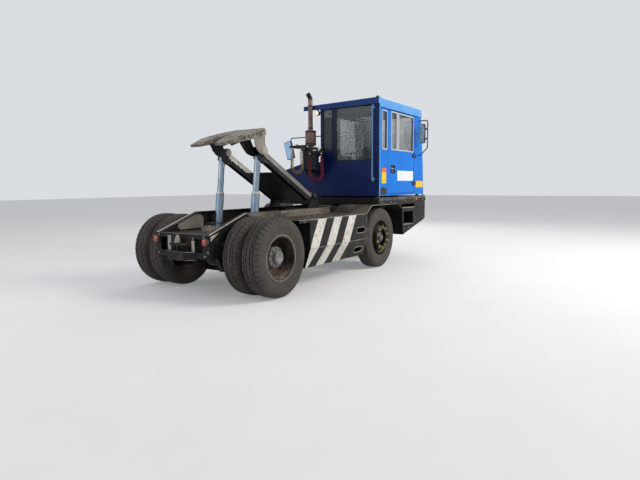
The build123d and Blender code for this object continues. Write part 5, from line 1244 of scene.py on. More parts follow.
stripe_slant = 0.54
stripes = []
for top_rear, top_front in ((0.904, 1.138), (1.357, 1.588), (1.813, 2.050)):
    rows = [1.032, 0.994, 0.86, 0.73, 0.601, 0.5, 0.4, 0.302]
    corners, faces = [], []
    for z in rows:
        shift = (1.02 - z) * stripe_slant
        rear = max(0.694, top_rear - shift)
        front = max(0.696, top_front - shift)
        for a in (rear, front):
            corners.append(place(a, panel_y(z), z))
            corners.append(place(a, panel_y(z, -0.002), z))
    for row in range(len(rows) - 1):
        b = row * 4
        faces += [
            (b, b + 2, b + 6, b + 4), (b + 1, b + 5, b + 7, b + 3), (b, b + 4, b + 5, b + 1),
            (b + 2, b + 3, b + 7, b + 6)
        ]
    faces += [(0, 1, 3, 2), (4 * len(rows) - 4, 4 * len(rows) - 2, 4 * len(rows) - 1, 4 * len(rows) - 3)]
    stripes.append((corners, faces))
piece("panel_stripes", both_sides(*stripes), "stripe_paint", smooth=10)
hole_rims = []
for z in (0.762, 0.422):
    loop = []
    for i in range(32):
        angle = 2 * pi * i / 32
        flat = 0.104 if cos(angle) > 0 else -0.104
        hole_z = z + 0.048 * sin(angle)
        loop.append((ahead(2.217) + flat + 0.048 * cos(angle), panel_y(hole_z, 0.0), hole_z))
    hole_rims.append(pipe(loop, 0.0055, 8, closed=True))
piece("foot_hole_rims", both_sides(*hole_rims), "worn_cap", smooth=60)
panel_rivets = []
for a in [0.74 + 0.155 * i for i in range(11)]:
    for z in (0.972, 0.325):
        along = rightward if z > 0.6 else (0, -0.944, -0.33)
        panel_rivets.append(turned(
            [(0.0075, 0), (0.0065, 0.0035), (0, 0.005)], place(a, panel_y(z, 0.0), z), along, 10
        ))
piece("panel_rivets", both_sides(*panel_rivets), "panel_paint")
seam = pipe([place(0.692, -1.2205, 0.6), place(2.428, -1.2205, 0.6)], 0.0035, 6)
piece(
    "panel_fold_line",
    both_sides(
        seam,
        pipe([
            place(2.428, panel_y(0.99, -0.002), 0.99), place(2.428, panel_y(0.6, -0.002), 0.6),
            place(2.428, panel_y(0.305, -0.002), 0.305)
        ], 0.0045, 6)
    ),
    "worn_cap", smooth=60
)
piece(
    "tank_fittings",
    both_sides(
        button((0.055, 0.012, 0.048, 0.018), place(1.7, -0.9, 1.026), upward, 36),
        button((0.022, 0.022, 0.017, 0.026), place(0.69, -1.0, 0.42), backward, 24),
        bent(
            [place(0.688, -0.8, 0.86), place(0.676, -0.8, 0.72), place(0.676, -0.8, 0.42), place(0.688, -0.8, 0.36)],
            0.02, 0.006, 8
        )
    ),
    "dark_steel"
)
piece(
    "tank_straps",
    both_sides(*[slab(
        [(ahead(a), 0.31), (ahead(a + 0.045), 0.31), (ahead(a + 0.045), 0.985), (ahead(a), 0.985)], "y", -0.6215,
        -0.6165
    ) for a in (0.92, 1.5)]),
    "frame_paint", bevel=0.001
)

# Step boxes: grip treads, edge lips and bolts; base beams: markers, bolts and nose lamps
grips, lips, box_bolts = [], [], []
for z, a_low, a_high in ((1.0705, 3.96, 4.52), (0.7305, 4.01, 4.455)):
    for y in (0.80, 0.875, 0.95, 1.025, 1.10, 1.175):
        for i in range(int((a_high - a_low) / 0.045)):
            a = a_low + 0.02 + 0.045 * i
            grips.append(turned(
                [(0.011, -0.001), (0.011, 0.003), (0.007, 0.0055), (0.006, 0.002), (0, 0.002)], place(a, -y, z),
                upward, 8
            ))
    lips.append(pipe([place(a_low - 0.02, -1.2095, z - 0.003), place(a_high + 0.008, -1.2095, z - 0.003)], 0.0055, 8))
for a, z in (
    (3.86, 1.145), (4.6, 1.12), (4.78, 1.12), (4.97, 1.12), (4.6, 0.76), (4.97, 0.84), (4.03, 0.62), (4.25, 0.66),
    (3.97, 0.87)
):
    box_bolts.append(nut(place(a, -1.21, z), rightward, 0.01, 0.009, a * 3))
piece("step_grips", both_sides(*grips), "worn_cap")
piece("step_lips", both_sides(*lips), "worn_cap", smooth=60)
piece("step_box_bolts", both_sides(*box_bolts), "worn_steel")
piece(
    "side_markers",
    both_sides(
        turned([(0.03, 0), (0.03, 0.006), (0, 0.006)], place(4.62, -1.21, 1.235), rightward, 32),
        turned([(0.022, 0.006), (0.022, 0.012), (0.014, 0.017), (0, 0.018)], place(4.62, -1.21, 1.235), rightward, 32)
    ),
    "amber_lens"
)
piece(
    "base_bolts",
    both_sides(*[
        nut(place(a, -1.21, z), rightward, 0.012, 0.011, a * 3) for a in (3.03, 3.4, 4.04, 4.5, 4.98)
        for z in (1.205, 1.265)
    ]),
    "worn_steel"
)
fitting = turned(
    [(0.034, 0), (0.034, 0.01), (0.026, 0.016), (0.02, 0.03), (0.012, 0.034), (0, 0.034)], place(2.99, -1.155, 1.3),
    upward, 28
)
small_lamp = joined(
    bar((5.095, -1.19, 1.3), (5.135, -1.13, 1.312)),
    turned([(0.02, 0), (0.022, 0.015), (0.014, 0.03), (0, 0.034)], place(5.115, -1.16, 1.312), upward, 24)
)
piece("base_fittings", fitting, "grey_plastic")
piece("nose_lamps", both_sides(small_lamp), "white_lens")


# Cab outside: window seals, posts, gutter, roof, latch, plates, hinges and ribs


def rounded_box(low, high, corner, steps=4):
    points = []
    for x, z, start in (
        (high[0] - corner, high[1] - corner, 0), (low[0] + corner, high[1] - corner, 90),
        (low[0] + corner, low[1] + corner, 180), (high[0] - corner, low[1] + corner, 270)
    ):
        for i in range(steps + 1):
            angle = radians(start + 90 * i / steps)
            points.append((x + corner * cos(angle), z + corner * sin(angle)))
    return points


def border(low, high, width, axis, start, end, corner=0.04):
    # A flat frame between two rounded boxes, as thick as start to end along the axis
    outer = rounded_box(low, high, corner)
    inner = rounded_box(
        (low[0] + width, low[1] + width), (high[0] - width, high[1] - width), max(corner - width, 0.006)
    )
    corners = []
    for line, level in ((outer, start), (inner, start), (inner, end), (outer, end)):
        corners += [tuple((first, second, level)[i] for i in axis_order[axis]) for first, second in line]
    return corners, skin(4, len(outer))


def card(axis, low, high, corner, start, end):
    # A flat plate with rounded corners, square to the axis; all that runs along x is a distance ahead
    if axis == "x":
        return slab(rounded_box(low, high, corner), axis, ahead(start), ahead(end))
    return slab(rounded_box((ahead(low[0]), low[1]), (ahead(high[0]), high[1]), corner), axis, start, end)


def side_border(rear, front, low, high, width, start, end, corner=0.04):
    return border((ahead(rear), low), (ahead(front), high), width, "y", start, end, corner)


piece("quarter_window_seal", side_border(3.02, 3.252, 2.18, 2.9, 0.026, -1.207, -1.195), "pale_gasket", bevel=0.0025)
piece(
    "door_window_seal",
    [
        side_border(3.398, 4.462, 2.188, 2.912, 0.028, -1.2075, -1.195),
        bar((3.69, -1.2065, 2.205), (3.722, -1.178, 2.895)), bar((3.64, -1.2045, 2.215), (3.652, -1.186, 2.885))
    ],
    "pale_gasket", "door", bevel=0.0025
)
piece(
    "door_edge_seal", side_border(3.2705, 4.4995, 1.3625, 2.9295, 0.007, -1.2022, -1.197, 0.012), "seal_rubber",
    "door"
)
piece("left_window_seal", side_border(3.582, 4.578, 2.032, 2.918, 0.024, 0.0785, 0.0875), "seal_rubber", bevel=0.002)
piece(
    "rear_window_seals",
    [
        border((-1.074, 1.986), (-0.256, 2.994), 0.02, "x", ahead(2.9245), ahead(2.934), 0.05),
        border((-0.194, 2.186), (0.044, 2.994), 0.02, "x", ahead(2.9245), ahead(2.934), 0.05)
    ],
    "seal_rubber", bevel=0.002
)
piece(
    "rear_posts",
    [bar((2.9245, -1.2, 1.335), (2.9305, -1.176, 2.99)), bar((2.9265, -0.249, 1.995), (2.9305, -0.199, 2.99))],
    "post_paint", bevel=0.002
)
piece(
    "corner_post",
    [
        plate([(2.9265, 1.332), (2.968, 1.332), (2.968, 2.935), (2.9265, 2.935)], -1.2045, -1.199),
        plate([(2.938, 1.332), (2.95, 1.332), (2.95, 2.935), (2.938, 2.935)], -1.2085, -1.199),
        bar((3.262, -1.2035, 1.345), (3.268, -1.1985, 2.93))
    ],
    "light_blue_paint", bevel=0.0015
)
piece(
    "roof_strip_face",
    slab([(-1.2022, 2.99), (-1.2022, 3.1045), (0.4505, 3.0748), (0.4505, 2.9935)], "x", ahead(2.8875), ahead(2.8905)),
    "deep_blue_paint", bevel=0.001
)
piece(
    "roof_gutter", pipe([place(2.975, -1.218, 2.943), place(4.842, -1.218, 2.943)], 0.005, 8), "light_blue_paint",
    smooth=60
)
piece(
    "roof_lamp_base",
    [
        card("z", (2.966, -1.15), (3.141, -1.05), 0.03, 3.091, 3.118),
        turned(
            [(0.036, 0), (0.036, 0.014), (0.03, 0.03), (0.014, 0.04), (0, 0.042)], place(3.053, -1.1, 3.118), upward,
            32
        )
    ],
    "black_plastic", bevel=0.003
)
piece(
    "roof_hatch",
    [
        card("z", (3.55, -0.86), (4.2, -0.26), 0.06, 3.091, 3.112),
        card("z", (3.6, -0.81), (4.15, -0.31), 0.05, 3.112, 3.122)
    ],
    "light_blue_paint", bevel=0.005
)

latch_bed = card("y", (3.412, 1.762), (3.588, 1.898), 0.02, -1.1875, -1.1845)
piece(
    "latch_bed", [latch_bed, side_border(3.4, 3.6, 1.75, 1.91, 0.014, -1.2045, -1.197, 0.022)], "black_plastic",
    "door", bevel=0.002
)
piece(
    "latch_pull",
    [
        bent([
            place(3.44, -1.188, 1.846), place(3.44, -1.203, 1.846), place(3.55, -1.203, 1.838),
            place(3.55, -1.188, 1.838)
        ], 0.012, 0.0085, 10),
        button((0.013, 0.01, 0.009, 0.012), place(3.505, -1.1885, 1.795), rightward, 20)
    ],
    "bright_steel", "door"
)
for name, low, high, corner, material, body in (
    ("door_plate", (3.7, 1.612), (4.46, 1.808), 0.012, "white_plate", "door"),
    ("front_side_plate", (4.6, 1.475), (4.985, 1.61), 0.012, "yellow_plate", "chassis"),
    ("corner_plate_upper", (3.03, 1.772), (3.215, 1.842), 0.008, "orange_plate", "chassis"),
    ("corner_plate_lower", (3.03, 1.56), (3.215, 1.768), 0.008, "yellow_plate", "chassis")
):
    piece(name, card("y", low, high, corner, -1.2028, -1.1995), material, body, bevel=0.0008)
piece(
    "corner_cover",
    [
        ring([(0.032, 0), (0.044, 0), (0.044, 0.006), (0.032, 0.006)], place(3.1, -1.2, 1.455), rightward, 32),
        turned([(0.0325, 0.0005), (0.0325, 0.0015), (0, 0.0015)], place(3.1, -1.2, 1.455), rightward, 28),
        bar((2.985, -1.2035, 1.345), (3.215, -1.1995, 1.4))
    ],
    "black_plastic", bevel=0.0012
)
for name, body, rear, front, bolts in (
    ("hinge_leaves", "chassis", 4.508, 4.6, (4.545, 4.58)), ("door_leaves", "door", 4.405, 4.495, (4.44,))
):
    leaves = []
    for z in (1.56, 2.12):
        leaves.append(bar((rear, -1.2095, z - 0.036), (front, -1.1995, z + 0.036)))
        leaves += [
            nut(place(a, -1.2095, z + step), rightward, 0.006, 0.005) for a in bolts for step in (-0.018, 0.018)
        ]
    piece(name, leaves, "black_plastic", body, bevel=0.0015)
rivets = [
    turned([(0.006, 0), (0.005, 0.003), (0, 0.004)], place(a, -1.2, z), rightward, 10)
    for a, z in [(3.0, 1.36 + 0.24 * i) for i in range(4)] + [
        (4.56 + 0.09 * i, 1.36) for i in range(5)
    ] + [(4.7, 1.75 + 0.25 * i) for i in range(5)]
]
piece("cab_rivets", rivets, "blue_paint")
rear_ribs = [bar((2.9245, -1.12, z), (2.9305, 0.06, z + 0.022)) for z in (1.42, 1.62)]
rear_ribs.append(bar((2.921, -0.62, 1.7), (2.9305, -0.3, 1.92)))
rear_ribs += [
    plate([(2.914, 1.73 + 0.034 * i), (2.9225, 1.745 + 0.034 * i), (2.9225, 1.73 + 0.034 * i)], -0.6, -0.32)
    for i in range(5)
]
piece("rear_wall_ribs", rear_ribs, "navy_paint", bevel=0.0015)
piece(
    "grab_rail_feet",
    [button((0.026, 0.005, 0.02, 0.008), place(2.93, -1.09, z), backward, 24) for z in (1.64, 2.935)],
    "light_blue_paint"
)

# Windscreen, in places to the left, up its slope and out of it
screen_foot = Vector(place(4.985, 0, 1.95))
screen_up = (Vector(place(4.83, 0, 3.035)) - screen_foot).normalized()
screen_out = Vector((screen_up.z, 0, -screen_up.x))


def on_screen(*shapes):
    places, faces = joined(*shapes)
    corners = []
    for y, rise, out in places:
        spot = screen_foot + screen_up * rise + screen_out * out
        corners.append((spot.x, y, spot.z))
    return corners, faces


piece(
    "screen_seal", on_screen(border((-1.13, 0.024), (0.01, 1.048), 0.026, "z", -0.004, 0.006, 0.06)), "seal_rubber",
    bevel=0.002
)
wipers = []
for y in (-0.86, -0.34):
    wipers.append(button((0.02, 0.016, 0.014, 0.02), (y, 0.0, 0.0), upward, 20))
    wipers.append(bent([(y, 0.0, 0.016), (y - 0.05, 0.2, 0.024), (y - 0.1, 0.4, 0.013)], 0.08, 0.005, 8))
    wipers.append(bent([(y + 0.02, 0.1, 0.0105), (y - 0.1, 0.4, 0.0125), (y - 0.22, 0.7, 0.0105)], 0.1, 0.0055, 8))
piece("wipers", on_screen(*wipers), "black_plastic")
piece("front_lid", card("x", (-0.98, 1.44), (-0.14, 1.84), 0.03, 5.006, 5.019), "blue_paint", bevel=0.004)
piece(
    "front_lid_locks",
    [button((0.018, 0.004, 0.012, 0.008), place(5.019, y, 1.8), forward, 20) for y in (-0.88, -0.24)], "bright_steel"
)

# Mirrors, their glass tinted blue as a painted reflection of sky
piece(
    "right_mirror_glass", card("x", (-1.401, 2.39), (-1.289, 2.765), 0.02, 4.5455, 4.5505), "mirror_glass",
    bevel=0.001
)
lean = radians(14)
left_outline = [
    (1.276 + y * cos(lean) + z * sin(lean), 2.295 - y * sin(lean) + z * cos(lean))
    for y, z in rounded_box((-0.083, -0.183), (0.083, 0.183), 0.022)
]
piece("left_mirror_glass", slab(left_outline, "x", ahead(3.4655), ahead(3.4705)), "mirror_glass", bevel=0.001)
mirror_clamps = [
    turned([(0.017, -0.014), (0.019, -0.01), (0.019, 0.01), (0.017, 0.014)], place(3.545, 1.276, z), upward, 16)
    for z in (2.2, 2.4, 1.95)
]
mirror_clamps += [
    turned([(0.017, -0.014), (0.019, -0.01), (0.019, 0.01), (0.017, 0.014)], place(4.73, -1.385, z), upward, 16)
    for z in (2.48, 2.68)
]
piece("mirror_clamps", mirror_clamps, "black_plastic")

# Headlamps, bumper bolts, blank number plate and indicators
lamp_bezels, lamp_bolts = [], []
for hand in (-1, 1):
    y = hand * 0.92
    lamp_bezels.append(border((y - 0.125, 0.905), (y + 0.125, 1.075), 0.016, "x", ahead(5.083), ahead(5.101), 0.024))
    lamp_bezels.append(bar((5.085, y - 0.002 + hand * 0.03, 0.92), (5.0975, y + 0.002 + hand * 0.03, 1.06)))
    for step_y, z in ((-0.115, 0.915), (0.115, 0.915), (-0.115, 1.065), (0.115, 1.065)):
        lamp_bolts.append(nut(place(5.101, y + step_y, z), forward, 0.005, 0.004))
piece("headlamp_bezels", lamp_bezels, "black_plastic", bevel=0.002)
piece(
    "bumper_bolts",
    [
        *lamp_bolts,
        *[nut(place(5.09, y, z), forward, 0.014, 0.013, y) for y in (-0.6, -0.5, 0.5, 0.6) for z in (0.86, 1.08)]
    ],
    "worn_steel"
)
piece("number_plate", card("x", (-0.26, 0.865), (0.26, 0.975), 0.012, 5.089, 5.0935), "white_plate", bevel=0.0008)
piece(
    "front_indicators",
    [
        turned([(0.038, 0), (0.038, 0.006), (0.03, 0.014), (0, 0.018)], place(5.09, hand * 1.12, 0.99), forward, 32)
        for hand in (-1, 1)
    ],
    "amber_lens"
)
piece(
    "headlamp_rings",
    [ring(
        [(0.02, 0.0), (0.058, 0.0), (0.06, 0.003), (0.02, 0.003)], place(5.0975, hand * 0.92 + step, 0.99), forward,
        40
    ) for hand in (-1, 1) for step in (-0.05, 0.06)],
    "bright_steel"
)


# Cab inside: padded seat, belt, bellows and arm rest

pad_rise = 0.012
puff_frames = 20


def rest_pad(name, node, base, seams):
    # Swells the slightly smaller base by cloth simulation, caps how far it moves, and sews its seams on
    start = bpy.data.meshes.new(name)
    start.from_pydata(base[0], [], base[1])
    work = bmesh.new()
    work.from_mesh(start)
    bmesh.ops.recalc_face_normals(work, faces=work.faces)
    bmesh.ops.bevel(work, geom=work.edges[:], offset=0.03, segments=4, affect="EDGES", clamp_overlap=True)
    work.to_mesh(start)
    work.free()
    holder = bpy.data.objects.new(name, start)
    bpy.context.scene.collection.objects.link(holder)
    remesh = holder.modifiers.new("remesh", "REMESH")
    remesh.mode = "VOXEL"
    remesh.voxel_size = 0.008
    graph = bpy.context.evaluated_depsgraph_get()
    mesh = bpy.data.meshes.new_from_object(holder.evaluated_get(graph))
    holder.modifiers.clear()
    holder.data = mesh
    before = [v.co.copy() for v in mesh.vertices]
    puff = holder.modifiers.new("puff", "CLOTH")
    puff.settings.quality = 4
    puff.settings.mass = 0.3
    puff.settings.use_pressure = True
    puff.settings.uniform_pressure_force = 4.0
    puff.settings.effector_weights.gravity = 0.0
    puff.point_cache.frame_start = 1
    puff.point_cache.frame_end = puff_frames
    for step in range(1, puff_frames + 1):
        bpy.context.scene.frame_set(step)
    graph = bpy.context.evaluated_depsgraph_get()
    swollen = [v.co.copy() for v in holder.evaluated_get(graph).data.vertices]
    holder.modifiers.clear()
    bpy.context.scene.frame_set(1)
    floor_z = min(v.z for v in before)
    for vertex, old, new in zip(mesh.vertices, before, swollen):
        move = new - old
        if move.length > pad_rise:
            move = move.normalized() * pad_rise
        spot = old + move
        spot.z = max(spot.z, floor_z)
        vertex.co = spot
    mesh.shade_smooth()
    mesh.materials.append(materials["seat_cloth"])
    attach(holder, "chassis")
    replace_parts(holder, node)
    piece(name + "_seams", seams, "belt_web", smooth=60)


cushion = slab(
    [(ahead(3.412), -0.818), (ahead(3.868), -0.818), (ahead(3.868), -0.382), (ahead(3.412), -0.382)], "z", 1.8815,
    1.988
)
cushion_seams = [loop_pipe([
    place(3.425, -0.805, 1.982), place(3.855, -0.805, 1.982), place(3.855, -0.395, 1.982), place(3.425, -0.395, 1.982)
], 0.0045, 0.05, 6)]
for y in (-0.70, -0.60, -0.50):
    cushion_seams.append(pipe(
        [place(3.46 + 0.03 * i, y, 1.9915 - 0.004 * abs(i - 6) / 6) for i in range(13)], 0.0028, 6
    ))
rest_pad("seat_pad", "seat_cushion", cushion, cushion_seams)
back_low = [(3.5, 2.01), (3.395, 2.01), (3.318, 2.765), (3.372, 2.765)]
back = slab([(ahead(a), z) for a, z in back_low], "y", -0.788, -0.412)
back_seams = [
    pipe([place(3.5045 - 0.0133 * i, y, 2.08 + 0.065 * i) for i in range(10)], 0.0028, 6)
    for y in (-0.71, -0.6, -0.49)
]
rest_pad("seat_back_pad", "seat_back", back, back_seams)
piece(
    "seat_belt",
    [
        bar((3.41, -0.845, 1.93), (3.47, -0.835, 2.01)),
        plate([(3.44, 2.005), (3.475, 2.005), (3.8, 2.012), (3.8, 2.0145), (3.46, 2.0105)], -0.62, -0.575)
    ],
    "belt_web"
)
bellows = [
    border((ahead(3.44), -0.79), (ahead(3.84), -0.41), 0.05, "z", 1.45 + 0.06 * i, 1.475 + 0.06 * i, 0.05)
    for i in range(6)
]
slide_rails = joined(
    bar((3.42, -0.795, 1.3602), (3.9, -0.755, 1.385)), bar((3.42, -0.445, 1.3602), (3.9, -0.405, 1.385))
)
piece("seat_bellows", bellows, "seal_rubber", bevel=0.006)
piece("seat_slides", slide_rails, "dark_steel", bevel=0.002)
piece(
    "arm_rest",
    [
        card("y", (3.46, 2.16), (3.74, 2.2), 0.018, -0.405, -0.35),
        pipe([place(3.475, -0.41, 2.18), place(3.475, -0.375, 2.18)], 0.014, 12)
    ],
    "black_plastic", bevel=0.004
)

# Steering wheel boss, stalks, dials and pedals
wheel_middle = Vector(place(4.33, -0.6, 2.09))
wheel_out = Vector((-sin(radians(35)), 0, cos(radians(35))))
boss = turned([(0.046, 0.008), (0.046, 0.018), (0.034, 0.026), (0, 0.028)], wheel_middle, wheel_out, 32)
piece(
    "wheel_boss",
    [
        boss,
        turned(
            [(0.01, 0.01), (0.01, 0.03), (0.02, 0.036), (0.024, 0.052), (0.016, 0.064), (0, 0.067)],
            wheel_middle + Vector((0, 0.2, 0)), wheel_out, 24
        )
    ],
    "black_plastic"
)
stalk_foot = wheel_middle - wheel_out * 0.07
piece(
    "column_stalks",
    [bent(
        [stalk_foot, stalk_foot + Vector((0, side * 0.08, 0.01)), stalk_foot + Vector((-0.01, side * 0.165, 0.05))],
        0.04, 0.006, 8
    ) for side in (-1, 1)],
    "black_plastic"
)
dial_foot = Vector(place(4.6, 0, 1.915))
dial_up = Vector((0.08, 0, 0.09)).normalized()
dial_out = Vector((-dial_up.z, 0, dial_up.x))
rims, faces_of_dials, needles = [], [], []
for y, size, turn in ((-0.74, 0.038, 0.7), (-0.65, 0.048, -0.9), (-0.545, 0.048, 0.3), (-0.455, 0.038, -0.4)):
    spot = dial_foot + Vector((0, y, 0))
    rims.append(ring([(size * 0.9, 0), (size, 0), (size, 0.007), (size * 0.9, 0.005)], spot, dial_out, 36))
    faces_of_dials.append(turned([(size * 0.92, 0), (size * 0.92, 0.002), (0, 0.002)], spot, dial_out, 36))
    tip = spot + dial_out * 0.004 + (dial_up * cos(turn) + Vector((0, sin(turn), 0))) * size * 0.75
    needles.append(pipe([spot + dial_out * 0.004, tip], 0.0016, 6))
    for i in range(9):
        angle = radians(-120 + 30 * i)
        mark = dial_up * cos(angle) + Vector((0, sin(angle), 0))
        needles.append(pipe(
            [spot + dial_out * 0.0028 + mark * size * 0.72, spot + dial_out * 0.0028 + mark * size * 0.85], 0.0012, 4
        ))
piece("dial_rims", rims, "bright_steel")
piece("dial_faces", faces_of_dials, "black_plastic")
piece("dial_marks", needles, "white_plate")
piece(
    "dash_switches", [bar((4.612, -0.36 + 0.035 * i, 1.9235), (4.628, -0.338 + 0.035 * i, 1.936)) for i in range(7)],
    "pale_plastic", bevel=0.002
)
pedals = []
for y, width in ((-0.42, 0.06), (-0.78, 0.05)):
    pedals.append(plate([(4.42, 1.4), (4.5, 1.545), (4.512, 1.54), (4.432, 1.395)], y - width, y + width))
    pedals.append(pipe([place(4.5, y, 1.48), place(4.557, y, 1.52)], 0.009, 8))
    for i in range(5):
        pedals.append(pipe([
            place(4.426 + 0.015 * i, y - width + 0.008, 1.4135 + 0.0275 * i),
            place(4.426 + 0.015 * i, y + width - 0.008, 1.4135 + 0.0275 * i)
        ], 0.004, 6))
piece("pedals", pedals, "black_plastic", bevel=0.002)
piece(
    "floor_mat",
    [
        bar((3.05, -1.14, 1.3601), (4.5, -0.28, 1.3625)),
        *[bar((3.1 + 0.05 * i, -1.12, 1.3602), (3.125 + 0.05 * i, -0.3, 1.3665)) for i in range(27)]
    ],
    "seal_rubber", bevel=0.001
)

# Levers and boxes on the console
lever_pipes, lever_knobs, boots = [], [], []
for a, y, lean_a, lean_y in (
    (3.34, -0.06, 0.02, -0.02), (3.64, -0.16, -0.03, -0.03), (3.58, -0.07, 0.04, -0.01), (3.72, -0.18, 0.01, -0.04),
    (3.78, -0.1, 0.05, 0.0)
):
    foot_spot = Vector(place(a, y, 2.012))
    top = foot_spot + Vector((lean_a, lean_y, 0.15))
    lever_pipes.append(pipe([foot_spot, top], 0.0055, 8))
    lever_knobs.append(turned(
        [(0.01, -0.005), (0.019, 0.006), (0.022, 0.022), (0.015, 0.036), (0, 0.04)], top, tuple(top - foot_spot), 20
    ))
    boots.append(turned([
        (0.036, 0.0), (0.036, 0.008), (0.026, 0.014), (0.028, 0.022), (0.019, 0.03), (0.02, 0.038), (0.01, 0.05),
        (0, 0.05)
    ], foot_spot - Vector((0, 0, 0.002)), tuple(top - foot_spot), 20))
piece("lever_rods", lever_pipes, "bright_steel")
piece("lever_knobs", lever_knobs, "white_plate")
piece("lever_boots", boots, "seal_rubber")
piece(
    "console_boxes",
    [
        card("z", (3.14, -0.24), (3.29, -0.02), 0.02, 2.012, 2.075),
        card("z", (3.4, -0.25), (3.6, -0.11), 0.02, 2.012, 2.11),
        plate([(3.3, 2.075), (3.24, 2.15), (3.225, 2.145), (3.27, 2.075)], -0.22, -0.05)
    ],
    "cream_paint", bevel=0.004
)
piece("console_panel", side_border(3.16, 4.0, 1.42, 1.86, 0.02, -0.2655, -0.2595, 0.03), "black_plastic", bevel=0.002)

# Lining, visor, lamp, mirror and fan
piece(
    "headliner",
    [
        card("z", (2.985, -1.145), (4.775, 0.025), 0.04, 3.012, 3.0345),
        bar((2.972, -1.15, 2.985), (3.02, 0.03, 3.012))
    ],
    "headliner_felt", bevel=0.006
)
piece("sun_visor", card("z", (4.5, -0.92), (4.74, -0.22), 0.03, 2.985, 2.999), "headliner_felt", bevel=0.004)
piece("cab_lamp", card("z", (3.62, -0.66), (3.8, -0.54), 0.02, 2.99, 3.012), "white_lens", bevel=0.004)
piece(
    "roof_box",
    [
        card("z", (4.3, -0.3), (4.48, -0.08), 0.01, 2.935, 3.012),
        *[turned([(0.012, 0), (0.012, 0.01), (0, 0.011)], place(4.3, y, 2.97), backward, 16) for y in (-0.27, -0.11)]
    ],
    "black_plastic", bevel=0.002
)
piece(
    "door_card",
    [
        side_border(3.32, 4.44, 1.42, 2.16, 0.03, -1.1605, -1.1555, 0.05),
        bent(
            [place(3.6, -1.158, 2.02), place(3.6, -1.12, 2.02), place(3.95, -1.12, 2.02), place(3.95, -1.158, 2.02)],
            0.03, 0.01, 10
        ),
        button((0.03, 0.008, 0.02, 0.012), place(4.1, -1.16, 1.85), (0, 1, 0), 24)
    ],
    "black_plastic", "door", bevel=0.002
)
piece(
    "cab_fan",
    [
        ring([(0.07, 0.0), (0.076, 0.0), (0.076, 0.012), (0.07, 0.012)], place(4.7, -0.16, 2.9), (-1, 0, 0.1), 32),
        *[pipe([
            place(4.692, -0.16, 2.9),
            place(4.692, -0.16 + 0.072 * cos(radians(60 * i)), 2.9 + 0.072 * sin(radians(60 * i)))
        ], 0.0022, 5) for i in range(6)],
        pipe([place(4.7, -0.16, 2.97), place(4.7, -0.16, 3.013)], 0.008, 8),
        button((0.03, 0.05, 0.02, 0.06), place(4.7, -0.16, 2.9), forward, 24)
    ],
    "black_plastic"
)


# Hood, exhaust, air cleaner and couplings

piece(
    "hood_seams",
    [
        pipe([place(3.05, 1.2005, 1.44), place(4.95, 1.2005, 1.44)], 0.004, 6),
        border((ahead(3.2), 1.47), (ahead(3.95), 1.76), 0.012, "y", 1.1995, 1.2035, 0.03),
        border((ahead(4.1), 1.47), (ahead(4.85), 1.76), 0.012, "y", 1.1995, 1.2035, 0.03)
    ],
    "navy_paint", bevel=0.0012
)
louvres = []
for a_low in (3.26, 4.16):
    for i in range(7):
        z = 1.505 + 0.034 * i
        louvres.append(slab(
            [(1.1985, z), (1.2115, z + 0.006), (1.2115, z + 0.009), (1.1985, z + 0.024)], "x", ahead(a_low),
            ahead(a_low + 0.62)
        ))
piece("hood_louvres", louvres, "navy_paint", bevel=0.0015)
catches = []
for a in (3.35, 3.80, 4.25, 4.70):
    catches.append(bar((a - 0.016, 1.199, 1.405), (a + 0.016, 1.207, 1.475)))
    catches.append(bent([place(a, 1.207, 1.465), place(a, 1.216, 1.45), place(a, 1.216, 1.415)], 0.008, 0.005, 8))
piece("hood_catches", catches, "black_plastic", bevel=0.0015)
hood_hinges = [bar((a - 0.05, 0.121, 1.955), (a + 0.05, 0.15, 1.9815)) for a in (3.3, 4.0, 4.7)]
hood_hinges += [
    pipe([place(a - 0.055, 0.126, 1.985), place(a + 0.055, 0.126, 1.985)], 0.008, 10) for a in (3.3, 4.0, 4.7)
]
piece("hood_hinges", hood_hinges, "dark_steel")
piece(
    "hood_rear_panels",
    [
        border((0.2, 1.36), (0.62, 1.6), 0.012, "x", ahead(2.9865), ahead(2.9905), 0.03),
        border((0.72, 1.36), (1.14, 1.7), 0.012, "x", ahead(2.9865), ahead(2.9905), 0.03),
        *[nut(place(2.9895, y, z), backward, 0.008, 0.007) for y in (0.17, 0.67, 1.17) for z in (1.34, 1.72)]
    ],
    "navy_paint", bevel=0.001
)
grille_mesh = [
    pipe([place(4.986, 0.27 + 0.026 * i, 1.385), place(4.986, 0.27 + 0.026 * i, 1.735)], 0.0022, 5) for i in range(31)
]
grille_mesh += [
    pipe([place(4.984, 0.262, 1.385 + 0.025 * i), place(4.984, 1.058, 1.385 + 0.025 * i)], 0.0022, 5)
    for i in range(15)
]
piece("grille_mesh", grille_mesh, "dark_steel")
piece(
    "radiator_core", [bar((4.952, 0.26, 1.375 + 0.012 * i), (4.972, 1.06, 1.378 + 0.012 * i)) for i in range(31)],
    "black_paint"
)

# Exhaust: bands with their bolts, and the silencer's holes
stack = place(2.84, 0.255, 0)
bands = []
for z, radius in ((1.76, 0.0455), (2.268, 0.0455), (2.338, 0.1055), (2.572, 0.1055), (2.645, 0.0455), (3.06, 0.0455)):
    bands.append(ring([
        (radius - 0.001, z - 0.013), (radius + 0.0035, z - 0.011), (radius + 0.0035, z + 0.011),
        (radius - 0.001, z + 0.013)
    ], stack, upward, 40))
    bands.append(nut((stack[0] - radius - 0.006, stack[1] - 0.012, z), (0, 1, 0), 0.006, 0.024))
piece("exhaust_bands", bands, "dark_steel")
shield_rows = []
for row in range(8):
    for i in range(18):
        angle = 2 * pi * (i + 0.5 * (row % 2)) / 18
        spot = (stack[0] + 0.1052 * cos(angle), stack[1] + 0.1052 * sin(angle), 2.365 + 0.027 * row)
        shield_rows.append(turned([(0.0065, 0), (0.0065, 0.0008), (0, 0.0008)], spot, (cos(angle), sin(angle), 0), 8))
